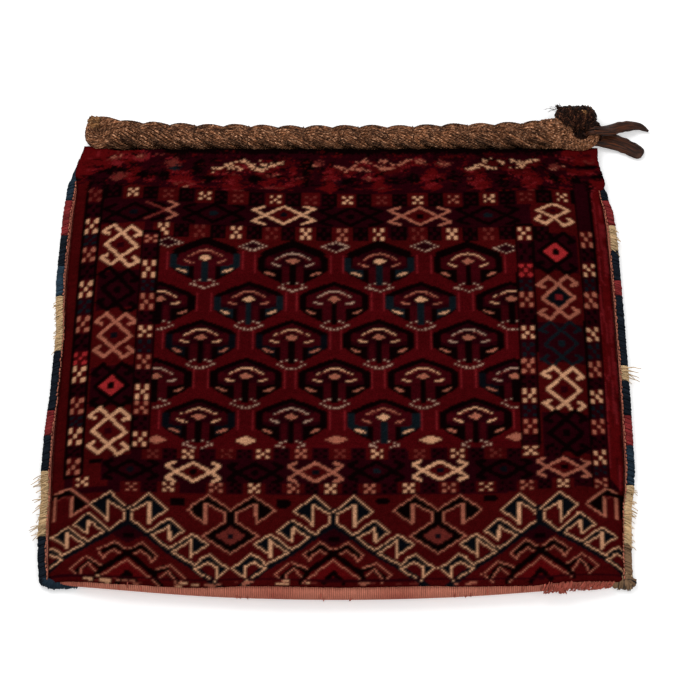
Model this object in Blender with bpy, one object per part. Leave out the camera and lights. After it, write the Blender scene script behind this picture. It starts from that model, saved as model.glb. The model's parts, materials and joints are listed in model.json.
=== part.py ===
"""A woven storage bag with a knotted-pile face, lying on its back.

One strip of cloth is folded at the bottom into a pile front and a plain-weave back. Yarn bindings
close its sides, and a braided hair rope is sewn along the back's hem, beyond the open mouth. The rope
ends in an eye that holds a leather thong.

Metres. +X runs across the bag, +Y towards the mouth, +Z up. The origin is on the flat underside.
"""
import math

import bmesh
import bpy
from mathutils import Vector

# The cloth
BAG_WIDTH = 0.762
SIDE_BULGE = 0.005
MOUTH_PULL = 0.012
MOUTH_PULL_LENGTH = 0.050
MOUTH_Y = 0.308
BAG_LENGTH = 0.631
BOTTOM_BOW = 0.024
PILE_THICKNESS = 0.006
BACK_THICKNESS = 0.0025
HEM_REACH = 0.036
FOLD_HEIGHT = 0.031
CROWN_HEIGHT = 0.050
MOUTH_HEIGHT = 0.026
CROWN_RISE_LENGTH = 0.150
CROWN_FALL_LENGTH = 0.170
SIDE_SLOPE_WIDTH = 0.110
SIDE_SLOPE_POWER = 2.2
SURFACE_WAVE = 0.0012
WAVE_ACROSS = (31, 9)
WAVE_ALONG = (-7, 23)

# The joined selvedges and the yarn wound over them
CLEARANCE = 0.0004
SELVEDGE_WIDTH = 0.009
SELVEDGE_THICKNESS = 0.006
POCKET_INSET = 0.023
BINDING_WALL = 0.0026
BINDING_REACH = 0.0085
BINDING_MOUTH_GAP = 0.004
BINDING_ROUNDING = 0.7
BINDING_LIP_HEIGHT = 0.88
SELVEDGE_LIFT = BINDING_WALL + 2 * CLEARANCE
UNDERSIDE_TURN = 0.020

# Binding yarns from the mouth down, each with the length that it covers; the last one runs to the corner
LEFT_BINDING = (
    ("dark_blue", 0.067), ("red", 0.056), ("navy", 0.048), ("blue", 0.047), ("ivory", 0.083),
    ("navy", 0.088), ("red", 0.036), ("navy", 0.050), ("ivory", 0.090), ("navy", None),
)
RIGHT_BINDING = (
    ("navy", 0.067), ("red", 0.040), ("ivory", 0.040), ("navy", 0.047), ("red", 0.023),
    ("navy", 0.106), ("ivory", 0.022), ("navy", 0.051), ("red", 0.043), ("dark_blue", 0.056),
    ("ivory", 0.082), ("grey_brown", None),
)
CORNER_EAR_WIDTH = 0.036
CORNER_EAR_LENGTH = 0.010
CORNER_EAR_THICKNESS = 0.009
CORNER_EAR_ROOT = 0.0025
CORNER_EAR_PEAK_SHARE = 0.55
CORNER_EAR_ROUNDING = 0.0016

# The braided rope
ROPE_WIDTH = 0.042
ROPE_THICKNESS = 0.026
ROPE_LEFT_INSET = 0.051
ROPE_RIGHT_INSET = 0.076
ROPE_END_SWELL = 0.12
MOUTH_SLIT = 0.012
BRAID_PERIOD = 0.118
BRAID_SPREAD = 2.24
BRAID_STACK = 1.36
ROPE_END_LENGTH = 0.038
ROPE_END_TIP_SHARE = 0.93
ROPE_END_BLUNTNESS = 2.6
ROPE_END_FLATNESS = 0.35
ROPE_END_LEAN = 0.0084
STITCH_COUNT = 8
STITCH_THREAD = 0.0022

# The eye at the rope's right end, its hair lashing and its thong
EYE_GAP = 0.018
EYE_RADIUS = 0.019
EYE_CORD = 0.015
NECK_END_WIDTH = 0.01875
NECK_END_HEIGHT = 0.0135
NECK_OVERLAP = 0.003
LASHING_LENGTH = 0.066
LASHING_WIDTH = 0.046
LASHING_HEIGHT = 0.028
LASHING_OVERLAP = 0.016
LASHING_OFFSET = 0.0057
LASHING_TIP_SHARE = 0.96
LASHING_FLATNESS = 0.25
THONG_WIDTH = 0.014
THONG_THICKNESS = 0.004
THONG_LENGTH = 0.088
THONG_SPREAD = 0.020
THONG_FORK_START_SHARE = 0.35
THONG_FORK_END_SHARE = 0.85
THONG_FALL_END_SHARE = 0.55
THONG_REST_SHARE = 0.25
THONG_LOWER_SHORTER = 0.0088
THONG_TIP_WIDTH = 0.0084
THONG_HEM_GAP = 0.002
THONG_DROP_LENGTH = 0.022

# Mesh fineness
FOLD_STEPS = 4
FRONT_STEPS = 20
ACROSS_STEPS = 18
STRAND_SIDES = 8
THONG_TURN_STEPS = 12
STITCH_STEPS = 10
STITCH_SQUARENESS = 0.6
STRAND_STEP = 0.0084
BINDING_STEPS = 8
EAR_STEPS = 5
ROPE_END_STEPS = 6
OVAL_SIDES = 14
NECK_STEPS = 4
NECK_SIDES = 12
RING_STEPS = 24
RING_SIDES = 10
LASHING_STEPS = 10
THONG_STEPS = 6
SHARP_ANGLE = 50
SAME_PLACE = 1e-6

COLOURS = {
    "pile": (0.115, 0.012, 0.012),
    "navy": (0.012, 0.020, 0.040),
    "dark_blue": (0.018, 0.045, 0.080),
    "blue": (0.030, 0.070, 0.110),
    "red": (0.200, 0.030, 0.022),
    "ivory": (0.520, 0.380, 0.220),
    "grey_brown": (0.170, 0.110, 0.070),
    "goat_hair": (0.190, 0.110, 0.060),
    "dark_hair": (0.030, 0.018, 0.012),
    "leather": (0.070, 0.035, 0.022),
}
ROUGHNESS = {"leather": 0.6}

CORNER_Y = MOUTH_Y - BAG_LENGTH
ROPE_LEFT = ROPE_LEFT_INSET - BAG_WIDTH / 2
ROPE_RIGHT = BAG_WIDTH / 2 - ROPE_RIGHT_INSET
ROPE_LENGTH = ROPE_RIGHT - ROPE_LEFT
STRAND_WIDTH = ROPE_WIDTH / (1 + BRAID_SPREAD)
STRAND_THICKNESS = ROPE_THICKNESS / (1 + BRAID_STACK)


def clear_scene():
    for item in list(bpy.data.objects):
        bpy.data.objects.remove(item, do_unlink=True)


def smooth(value):
    """A smooth step from 0 to 1."""
    value = min(max(value, 0.0), 1.0)
    return value * value * (3 - 2 * value)


def finish(bm, name, colour):
    """Close off a mesh as one named object with its own material."""
    bmesh.ops.recalc_face_normals(bm, faces=bm.faces[:])
    mesh = bpy.data.meshes.new(name)
    bm.to_mesh(mesh)
    bm.free()
    mesh.shade_smooth()
    mesh.set_sharp_from_angle(angle=math.radians(SHARP_ANGLE))
    piece = bpy.data.objects.new(name, mesh)
    bpy.context.scene.collection.objects.link(piece)
    set_material(piece, colour)
    return piece


def set_material(piece, colour):
    material = bpy.data.materials.new(piece.name + "_" + colour)
    material.use_nodes = True
    shader = material.node_tree.nodes["Principled BSDF"]
    shader.inputs["Base Color"].default_value = (*COLOURS[colour], 1.0)
    shader.inputs["Roughness"].default_value = ROUGHNESS.get(colour, 0.9)
    shader.inputs["Metallic"].default_value = 0.0
    piece.data.materials.clear()
    piece.data.materials.append(material)


def sweep(rings, name, colour):
    """Join rings of points into one closed solid with flat ends."""
    bm = bmesh.new()
    rows = [[bm.verts.new(point) for point in ring] for ring in rings]
    for near, far in zip(rows, rows[1:]):
        for i in range(len(near)):
            j = (i + 1) % len(near)
            bm.faces.new((near[i], near[j], far[j], far[i]))
    bm.faces.new(rows[0])
    bm.faces.new(rows[-1])
    return finish(bm, name, colour)


# The bag's outline and heights

def half_width(y):
    """Half the cloth's width at a distance along the bag."""
    along = (y - CORNER_Y) / BAG_LENGTH
    bulge = SIDE_BULGE * (1 - (2 * along - 1) ** 2)
    pull = MOUTH_PULL * smooth((y - MOUTH_Y + MOUTH_PULL_LENGTH) / MOUTH_PULL_LENGTH)
    return BAG_WIDTH / 2 + bulge - pull


def row_share(i):
    """The rows along the bag, closer together at the fold and at the mouth."""
    even = i / FRONT_STEPS
    return (even + (1 - math.cos(math.pi * even)) / 2) / 2


def selvedge_rows():
    start = CORNER_Y + SELVEDGE_THICKNESS / 2
    return [start + (MOUTH_Y - start) * row_share(i) for i in range(FRONT_STEPS + 1)]


def selvedge_x(y):
    """The cloth's edge between its rows, which the bindings follow."""
    rows = selvedge_rows()
    if y <= rows[0]:
        return half_width(CORNER_Y)
    for low, high in zip(rows, rows[1:]):
        if y <= high:
            first = half_width(CORNER_Y) if low == rows[0] else half_width(low)
            share = (y - low) / (high - low)
            return first + (half_width(high) - first) * share
    return half_width(MOUTH_Y)


def fold_line(x):
    """Where the bottom fold turns, bowed out in the middle."""
    across = x / (BAG_WIDTH / 2)
    return CORNER_Y - BOTTOM_BOW * (1 - across * across)


def middle_height(y):
    """The face's height along the middle of the bag."""
    rise = smooth((y - CORNER_Y) / CROWN_RISE_LENGTH)
    fall = smooth((y - MOUTH_Y + CROWN_FALL_LENGTH) / CROWN_FALL_LENGTH)
    crown = FOLD_HEIGHT + (CROWN_HEIGHT - FOLD_HEIGHT) * rise
    return crown + (MOUTH_HEIGHT - crown) * fall


def side_share(inset):
    """How far the face has risen at a distance in from the selvedge."""
    run = min(max(inset - SELVEDGE_WIDTH, 0.0) / SIDE_SLOPE_WIDTH, 1.0)
    return 1 - (1 - run) ** SIDE_SLOPE_POWER


def top_height(x, y):
    share = side_share(half_width(y) - abs(x))
    edge = SELVEDGE_LIFT + SELVEDGE_THICKNESS
    across = WAVE_ACROSS[0] * x + WAVE_ACROSS[1] * y
    along = WAVE_ALONG[0] * x + WAVE_ALONG[1] * y
    wave = SURFACE_WAVE * math.sin(across) * math.cos(along)
    return edge + (middle_height(y) + wave - edge) * share


def under_height(x, y):
    inset = half_width(y) - abs(x) - SELVEDGE_WIDTH
    return SELVEDGE_LIFT * (1 - smooth(inset / UNDERSIDE_TURN))


def hem_top(x):
    """The height of the back's hem at the mouth, where the rope lies on it."""
    return under_height(x, MOUTH_Y) + BACK_THICKNESS


def across_stations():
    """Columns across the bag, each as a side, an inset from the edge and a share of the rest."""
    edges = [0.0, SELVEDGE_WIDTH]
    left = [(-1, inset, 0.0) for inset in edges]
    right = [(1, inset, 0.0) for inset in reversed(edges)]
    middle = []
    for i in range(ACROSS_STEPS + 1):
        share = math.sin(math.pi * (i / ACROSS_STEPS - 0.5))
        middle.append((0, POCKET_INSET, share))
    return left + middle + right


def column_x(station, y):
    side, inset, share = station
    reach = half_width(y) - inset
    return side * reach if side else share * reach


def column_points(station):
    """Front and back points of one column, from the fold's turn to the mouth, outside and inside."""
    start_x = column_x(station, CORNER_Y)
    turn_y = fold_line(start_x)
    start = turn_y + FOLD_HEIGHT / 2
    top = top_height(start_x, start)
    under = under_height(start_x, start)
    radius = (top - under) / 2
    start = turn_y + radius
    centre = (top + under) / 2
    front, back, inner_front, inner_back = [], [], [], []
    for i in range(FOLD_STEPS + 1):
        angle = math.pi / 2 * i / FOLD_STEPS
        rise, run = math.sin(angle), math.cos(angle)
        wall = PILE_THICKNESS * rise + (PILE_THICKNESS + BACK_THICKNESS) / 2 * (1 - rise)
        back_wall = BACK_THICKNESS * rise + (PILE_THICKNESS + BACK_THICKNESS) / 2 * (1 - rise)
        front.append(Vector((start_x, start - radius * run, centre + radius * rise)))
        back.append(Vector((start_x, start - radius * run, centre - radius * rise)))
        inner = radius - wall
        inner_front.append(Vector((start_x, start - inner * run, centre + inner * rise)))
        inner = radius - back_wall
        inner_back.append(Vector((start_x, start - inner * run, centre - inner * rise)))
    for i in range(1, FRONT_STEPS + 1):
        y = start + (MOUTH_Y - start) * row_share(i)
        x = column_x(station, y)
        high = top_height(x, y)
        low = under_height(x, y)
        front.append(Vector((x, y, high)))
        back.append(Vector((x, y, low)))
        inner_front.append(Vector((x, y, high - PILE_THICKNESS)))
        inner_back.append(Vector((x, y, low + BACK_THICKNESS)))
    return front, back, inner_front, inner_back


def hem_points(station):
    """The end of the back's hem, under the rope: its lower and its upper edge."""
    y = MOUTH_Y + HEM_REACH
    x = column_x(station, MOUTH_Y)
    low = under_height(x, MOUTH_Y)
    return Vector((x, y, low)), Vector((x, y, low + BACK_THICKNESS))


def build_cloth():
    """The folded strip: a shell that is open at the mouth and solid at its joined selvedges."""
    bm = bmesh.new()
    stations = across_stations()
    columns = []
    for station in stations:
        front, back, inner_front, inner_back = column_points(station)
        hem_low, hem_high = hem_points(station)
        column = {
            "front": [bm.verts.new(point) for point in front],
            "hem_low": bm.verts.new(hem_low),
            "hem_high": bm.verts.new(hem_high),
            "seat": bm.verts.new(inner_back[-1]),
            "inside": station[0] == 0,
        }
        column["back"] = [column["front"][0]] + [bm.verts.new(point) for point in back[1:]]
        if column["inside"]:
            column["in_front"] = [bm.verts.new(point) for point in inner_front]
            column["in_back"] = [column["in_front"][0]]
            column["in_back"] += [bm.verts.new(point) for point in inner_back[1:-1]]
            column["in_back"].append(column["seat"])
        columns.append(column)
    for near, far in zip(columns, columns[1:]):
        join_columns(bm, near, far)
    for column in (columns[0], columns[-1]):
        close_between(bm, column["front"], column["back"])
        close_mouth_end(bm, column)
    pocket = [column for column in columns if column["inside"]]
    for column in (pocket[0], pocket[-1]):
        close_between(bm, column["in_front"], column["in_back"])
    return finish(bm, "bag_cloth", "pile")


def join_strips(bm, first, second):
    for i in range(len(first) - 1):
        bm.faces.new((first[i], first[i + 1], second[i + 1], second[i]))


def join_columns(bm, near, far):
    """Outer faces everywhere, inner faces along the pocket, and the mouth's edge between."""
    join_strips(bm, near["front"], far["front"])
    join_strips(bm, near["back"], far["back"])
    bm.faces.new((near["back"][-1], near["hem_low"], far["hem_low"], far["back"][-1]))
    bm.faces.new((near["hem_low"], near["hem_high"], far["hem_high"], far["hem_low"]))
    bm.faces.new((near["hem_high"], near["seat"], far["seat"], far["hem_high"]))
    if near["inside"] and far["inside"]:
        join_strips(bm, near["in_front"], far["in_front"])
        join_strips(bm, near["in_back"], far["in_back"])
        lip = (near["front"][-1], near["in_front"][-1], far["in_front"][-1], far["front"][-1])
        bm.faces.new(lip)
        return
    edge = [near["front"][-1]]
    edge += [near["in_front"][-1]] if near["inside"] else []
    edge += [near["seat"], far["seat"]]
    edge += [far["in_front"][-1]] if far["inside"] else []
    edge += [far["front"][-1]]
    bm.faces.new(edge)


def close_between(bm, upper, lower):
    """A wall between a front and a back line that start from one shared point."""
    bm.faces.new((upper[0], upper[1], lower[1]))
    for i in range(1, len(upper) - 1):
        bm.faces.new((upper[i], upper[i + 1], lower[i + 1], lower[i]))


def close_mouth_end(bm, column):
    """The side of the hem, from the selvedge's end to the hem's edge."""
    top, seat = column["front"][-1], column["seat"]
    low = column["back"][-1]
    bm.faces.new((low, top, seat))
    bm.faces.new((low, seat, column["hem_high"], column["hem_low"]))


# The side bindings and the corners

def binding_profile():
    """A rounded C over the selvedge, as an outward distance and a height."""
    low = SELVEDGE_LIFT - CLEARANCE
    high = SELVEDGE_LIFT + SELVEDGE_THICKNESS + CLEARANCE
    middle = (low + high) / 2
    half = (high - low) / 2 + BINDING_WALL
    edge = CLEARANCE
    nose = half * BINDING_ROUNDING
    lip = half * BINDING_LIP_HEIGHT
    points = [(-BINDING_REACH, middle - lip)]
    for i in range(BINDING_STEPS + 1):
        angle = math.pi * (i / BINDING_STEPS - 0.5)
        outward = edge + BINDING_WALL - nose + nose * math.cos(angle)
        points.append((outward, middle + half * math.sin(angle)))
    points.append((-BINDING_REACH, middle + lip))
    points += [(-BINDING_REACH, high), (edge, high), (edge, low), (-BINDING_REACH, low)]
    return points


def build_bindings(side, side_name, yarns):
    """One wound length for each yarn, end to end down a side."""
    profile = binding_profile()
    upper = MOUTH_Y - BINDING_MOUTH_GAP
    for i, (yarn, length) in enumerate(yarns):
        lower = CORNER_Y + CLEARANCE if length is None else upper - length
        start, end = upper - CLEARANCE / 2, lower + CLEARANCE / 2
        between = [y for y in selvedge_rows() if end + CLEARANCE < y < start - CLEARANCE]
        rings = []
        for y in [start] + between[::-1] + [end]:
            edge = selvedge_x(y)
            rings.append([(side * (edge + outward), y, height) for outward, height in profile])
        sweep(rings, f"{side_name}_binding_{i + 1:02d}_{yarn}", yarn)
        upper = lower


def build_corner_ear(side, name, colour):
    """A blunt ear of yarn under the corner, where the binding is fastened off."""
    outer = half_width(CORNER_Y) + CLEARANCE
    inner = outer - CORNER_EAR_WIDTH
    seat = CORNER_Y - CLEARANCE
    upper, lower = [], []
    for i in range(EAR_STEPS + 1):
        share = i / EAR_STEPS
        x = inner + (outer - inner) * share
        upper.append((x, min(seat, fold_line(x) - CLEARANCE)))
        point = 1 - abs(share - CORNER_EAR_PEAK_SHARE) / CORNER_EAR_PEAK_SHARE
        lower.append((x, upper[-1][1] - CORNER_EAR_LENGTH * point - CORNER_EAR_ROOT))
    outline = upper + lower[::-1]
    low = CLEARANCE
    high = low + CORNER_EAR_THICKNESS
    rings = [[(side * x, y, z) for x, y in outline] for z in (low, high)]
    ear = sweep(rings, name, colour)
    bevel = ear.modifiers.new("soft_edges", "BEVEL")
    bevel.width = CORNER_EAR_ROUNDING
    bevel.segments = 2
    bevel.limit_method = "ANGLE"


# The rope

def rope_scale(x):
    """The rope is fuller towards its two ends."""
    middle = (ROPE_LEFT + ROPE_RIGHT) / 2
    return 1 + ROPE_END_SWELL * min(1.0, abs(x - middle) / (ROPE_LENGTH / 2)) ** 2


def rope_seat(x):
    """The rope's near side stays along the slit, and its underside on the hem."""
    scale = rope_scale(x)
    y = MOUTH_Y + MOUTH_SLIT + scale * ROPE_WIDTH / 2
    z = BACK_THICKNESS + CLEARANCE + scale * ROPE_THICKNESS / 2
    return y, z


def build_strand(index):
    """One strand of the braid, crossing from side to side and over and under."""
    steps = round(ROPE_LENGTH / STRAND_STEP)
    lead = 2 * math.pi * index / 3
    rings = []
    for i in range(steps + 1):
        x = ROPE_LEFT + ROPE_LENGTH * i / steps
        turn = 2 * math.pi * (x - ROPE_LEFT) / BRAID_PERIOD + lead
        scale = rope_scale(x)
        seat_y, seat_z = rope_seat(x)
        y = seat_y + scale * STRAND_WIDTH * BRAID_SPREAD / 2 * math.sin(turn)
        z = seat_z + scale * STRAND_THICKNESS * BRAID_STACK / 2 * math.sin(2 * turn)
        ring = []
        for k in range(STRAND_SIDES):
            angle = 2 * math.pi * k / STRAND_SIDES
            across = scale * STRAND_WIDTH / 2 * math.cos(angle)
            up = scale * STRAND_THICKNESS / 2 * math.sin(angle)
            ring.append((x, y + across, z + up))
        rings.append(ring)
    sweep(rings, f"rope_strand_{index + 1}", "goat_hair")


def oval_rings(stations, sides):
    """Oval sections across X, each from its x, centre y, centre z, width and height."""
    rings = []
    for x, y, z, width, height in stations:
        ring = []
        for k in range(sides):
            angle = 2 * math.pi * k / sides
            ring.append((x, y + width / 2 * math.cos(angle), z + height / 2 * math.sin(angle)))
        rings.append(ring)
    return rings


def build_rope_end():
    """The braid's left end, folded back on itself and bound into a blunt lobe."""
    root = ROPE_LEFT - CLEARANCE
    scale = rope_scale(ROPE_LEFT)
    seat_y = rope_seat(ROPE_LEFT)[0]
    stations = []
    for i in range(ROPE_END_STEPS + 1):
        share = i / ROPE_END_STEPS
        size = math.sqrt(1 - (ROPE_END_TIP_SHARE * share) ** ROPE_END_BLUNTNESS)
        height = scale * ROPE_THICKNESS * size
        width = scale * ROPE_WIDTH * (ROPE_END_FLATNESS + (1 - ROPE_END_FLATNESS) * size)
        x = root - ROPE_END_LENGTH * share
        z = hem_top(x) + 2 * CLEARANCE + height / 2
        stations.append((x, seat_y + ROPE_END_LEAN * share, z, width, height))
    sweep(oval_rings(stations, OVAL_SIDES), "rope_left_end", "goat_hair")


def build_stitch(index):
    """A thread from the hem over the rope and back under it to the hem's edge."""
    x = ROPE_LEFT + ROPE_LENGTH * (index + 0.5) / STITCH_COUNT
    scale = rope_scale(x)
    seat_y, seat_z = rope_seat(x)
    side_reach = scale * ROPE_WIDTH / 2 + STITCH_THREAD / 2 + CLEARANCE
    up_reach = scale * ROPE_THICKNESS / 2 + STITCH_THREAD / 2 + CLEARANCE
    foot = hem_top(x) + CLEARANCE
    low = STITCH_THREAD / 2 + CLEARANCE
    hem_edge = MOUTH_Y + HEM_REACH + CLEARANCE
    points = [(x, seat_y - side_reach, foot)]
    for i in range(STITCH_STEPS + 1):
        angle = math.pi * i / STITCH_STEPS
        across = math.copysign(abs(math.cos(angle)) ** STITCH_SQUARENESS, math.cos(angle))
        up = math.sin(angle) ** STITCH_SQUARENESS if i < STITCH_STEPS else 0.0
        points.append((x, seat_y - side_reach * across, seat_z + up_reach * up))
    far = seat_y + side_reach
    corner = 2 * STITCH_THREAD
    middle = corner * (1 - math.sqrt(0.5))
    points.append((x, far, low + corner))
    points.append((x, far - middle, low + middle))
    points.append((x, far - corner, low))
    points.append((x, hem_edge, low))
    build_thread(points, f"rope_stitch_{index + 1}", STITCH_THREAD, "goat_hair")


def build_thread(points, name, diameter, colour):
    """A round thread along a line of points, with closed ends."""
    curve = bpy.data.curves.new(name, "CURVE")
    curve.dimensions = "3D"
    curve.bevel_depth = diameter / 2
    curve.bevel_resolution = 1
    curve.use_fill_caps = True
    line = curve.splines.new("POLY")
    line.points.add(len(points) - 1)
    for place, point in zip(line.points, points):
        place.co = (*point, 1.0)
    piece = bpy.data.objects.new(name, curve)
    bpy.context.scene.collection.objects.link(piece)
    set_material(piece, colour)


# The eye, its lashing and its thong

def eye_centre():
    x = ROPE_RIGHT + CLEARANCE + EYE_GAP + EYE_CORD / 2 + EYE_RADIUS
    y = rope_seat(ROPE_RIGHT)[0]
    hem_side = SELVEDGE_LIFT + BACK_THICKNESS
    z = hem_side + THONG_THICKNESS + 2 * CLEARANCE + EYE_CORD / 2
    return Vector((x, y, z))


def torus_mesh(centre, ring_radius, cord_radius, name):
    bm = bmesh.new()
    rows = []
    for i in range(RING_STEPS):
        turn = 2 * math.pi * i / RING_STEPS
        row = []
        for k in range(RING_SIDES):
            angle = 2 * math.pi * k / RING_SIDES
            reach = ring_radius + cord_radius * math.cos(angle)
            place = Vector((reach * math.cos(turn), reach * math.sin(turn), cord_radius * math.sin(angle)))
            row.append(bm.verts.new(centre + place))
        rows.append(row)
    for i in range(RING_STEPS):
        near, far = rows[i], rows[(i + 1) % RING_STEPS]
        for k in range(RING_SIDES):
            m = (k + 1) % RING_SIDES
            bm.faces.new((near[k], near[m], far[m], far[k]))
    return finish(bm, name, "goat_hair")


def neck_stations(grow):
    """The braid narrowing from its full section to the eye's cord."""
    centre = eye_centre()
    scale = rope_scale(ROPE_RIGHT)
    seat_y, seat_z = rope_seat(ROPE_RIGHT)
    start = ROPE_RIGHT + CLEARANCE - grow
    end = centre.x - EYE_RADIUS + NECK_OVERLAP + grow
    stations = []
    for i in range(NECK_STEPS + 1):
        share = i / NECK_STEPS
        ease = smooth(share)
        width = scale * ROPE_WIDTH * (1 - ease) + NECK_END_WIDTH * ease + 2 * grow
        height = scale * ROPE_THICKNESS * (1 - ease) + NECK_END_HEIGHT * ease + 2 * grow
        z = seat_z + (centre.z - seat_z) * ease
        stations.append((start + (end - start) * share, seat_y, z, width, height))
    return stations


def apply_boolean(piece, cutter, operation):
    """Join or cut with a helper shape and then take the helper away."""
    step = piece.modifiers.new(operation.lower(), "BOOLEAN")
    step.operation = operation
    step.object = cutter
    step.solver = "EXACT"
    evaluated = piece.evaluated_get(bpy.context.evaluated_depsgraph_get())
    mesh = bpy.data.meshes.new_from_object(evaluated)
    piece.modifiers.clear()
    piece.data = mesh
    bpy.data.objects.remove(cutter, do_unlink=True)


def build_eye():
    centre = eye_centre()
    eye = torus_mesh(centre, EYE_RADIUS, EYE_CORD / 2, "rope_eye")
    neck = sweep(oval_rings(neck_stations(0.0), NECK_SIDES), "neck", "goat_hair")
    apply_boolean(eye, neck, "UNION")


def build_lashing():
    """A tousled lump of dark hair bound over the eye's far side."""
    centre = eye_centre()
    middle_x = centre.x - LASHING_OFFSET
    middle_y = centre.y + LASHING_OVERLAP / 2 + LASHING_WIDTH / 2
    stations = []
    for i in range(LASHING_STEPS + 1):
        share = 2 * i / LASHING_STEPS - 1
        size = math.sqrt(1 - (LASHING_TIP_SHARE * share) ** 2)
        height = LASHING_HEIGHT * size
        width = LASHING_WIDTH * (LASHING_FLATNESS + (1 - LASHING_FLATNESS) * size)
        x = middle_x + LASHING_LENGTH / 2 * share
        stations.append((x, middle_y, CLEARANCE + LASHING_HEIGHT / 2, width, height))
    lashing = sweep(oval_rings(stations, OVAL_SIDES), "hair_lashing", "dark_hair")
    ring = torus_mesh(centre, EYE_RADIUS, EYE_CORD / 2 + CLEARANCE, "ring_clearance")
    apply_boolean(lashing, ring, "DIFFERENCE")
    neck = sweep(oval_rings(neck_stations(CLEARANCE), NECK_SIDES), "neck_clearance", "goat_hair")
    apply_boolean(lashing, neck, "DIFFERENCE")


def thong_path():
    """The thong's centre line with its plan heading: out along one end, round the eye and back."""
    centre = eye_centre()
    bend = EYE_CORD / 2 + CLEARANCE + THONG_THICKNESS / 2
    start_x = centre.x + EYE_RADIUS
    drop = centre.z - bend - THONG_THICKNESS / 2 - CLEARANCE
    hem_side = half_width(MOUTH_Y) + THONG_HEM_GAP
    upper, lower = [], []
    for i in range(THONG_STEPS, 0, -1):
        share = i / THONG_STEPS
        x = start_x + THONG_LENGTH * share
        fork = smooth((share - THONG_FORK_START_SHARE) / (THONG_FORK_END_SHARE - THONG_FORK_START_SHARE))
        fall = smooth(share / THONG_FALL_END_SHARE)
        upper_z = centre.z + bend * (1 - (1 + THONG_REST_SHARE) * fall)
        upper.append((x, centre.y + THONG_SPREAD * fork, upper_z))
        past_hem = smooth((x - hem_side) / THONG_DROP_LENGTH)
        lower_x = x - THONG_LOWER_SHORTER * share
        lower.append((lower_x, centre.y - THONG_SPREAD * fork, centre.z - bend - drop * past_hem))
    turn = []
    eye_curve = EYE_RADIUS - math.sqrt(max(0.0, EYE_RADIUS ** 2 - (THONG_WIDTH / 2) ** 2))
    inner = bend + eye_curve + 2 * CLEARANCE
    for i in range(THONG_TURN_STEPS + 1):
        angle = math.pi / 2 + math.pi * i / THONG_TURN_STEPS
        turn.append((start_x + inner * math.cos(angle), centre.y, centre.z + bend * math.sin(angle)))
    return [Vector(point) for point in upper + turn + lower[::-1]]


def build_thong():
    path = thong_path()
    rings = []
    for i, point in enumerate(path):
        ahead = path[min(i + 1, len(path) - 1)] - path[max(i - 1, 0)]
        heading = Vector((ahead.x, ahead.y, 0.0))
        turning = abs(ahead.y) < SAME_PLACE
        side = Vector((0.0, 1.0, 0.0)) if turning else Vector((-heading.y, heading.x, 0.0)).normalized()
        if side.y < 0:
            side.negate()
        up = ahead.normalized().cross(side).normalized()
        width = THONG_TIP_WIDTH if i in (0, len(path) - 1) else THONG_WIDTH
        half, thick = side * width / 2, up * THONG_THICKNESS / 2
        rings.append([point + half + thick, point - half + thick, point - half - thick, point + half - thick])
    sweep(rings, "leather_thong", "leather")


def main():
    clear_scene()
    build_cloth()
    build_bindings(-1, "left", LEFT_BINDING)
    build_bindings(1, "right", RIGHT_BINDING)
    build_corner_ear(-1, "left_corner_ear", "navy")
    build_corner_ear(1, "right_corner_ear", "grey_brown")
    for index in range(3):
        build_strand(index)
    build_rope_end()
    for index in range(STITCH_COUNT):
        build_stitch(index)
    build_eye()
    build_lashing()
    build_thong()


main()
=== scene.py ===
"""The woven storage bag dressed for its render: knotted pile, plain weave, wound yarn, hair and leather."""
import json
import math

import bpy
import numpy as np
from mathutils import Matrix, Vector
from mathutils.bvhtree import BVHTree

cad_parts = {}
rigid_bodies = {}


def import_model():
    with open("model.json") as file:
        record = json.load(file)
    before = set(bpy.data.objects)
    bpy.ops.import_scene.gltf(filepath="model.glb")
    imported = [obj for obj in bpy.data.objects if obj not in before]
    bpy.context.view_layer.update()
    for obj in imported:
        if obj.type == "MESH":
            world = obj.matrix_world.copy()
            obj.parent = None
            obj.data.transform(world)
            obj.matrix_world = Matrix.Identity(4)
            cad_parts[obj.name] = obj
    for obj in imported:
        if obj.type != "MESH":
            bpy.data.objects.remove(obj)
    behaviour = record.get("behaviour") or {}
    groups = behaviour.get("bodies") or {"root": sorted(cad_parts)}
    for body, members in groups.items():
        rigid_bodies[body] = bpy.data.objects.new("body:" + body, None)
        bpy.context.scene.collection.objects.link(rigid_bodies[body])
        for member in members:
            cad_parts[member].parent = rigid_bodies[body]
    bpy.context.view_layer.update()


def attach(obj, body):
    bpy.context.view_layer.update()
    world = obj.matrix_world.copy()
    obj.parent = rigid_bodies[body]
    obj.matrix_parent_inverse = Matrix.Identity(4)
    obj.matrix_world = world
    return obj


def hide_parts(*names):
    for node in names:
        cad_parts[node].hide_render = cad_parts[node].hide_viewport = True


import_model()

# The camera: the photograph's viewing angle
CAMERA_TARGET = Vector((0.0155, 0.0, 0.020))
CAMERA_DISTANCE = 2.2
CAMERA_ELEVATION = 66
CAMERA_LENS = 83.16

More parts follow.
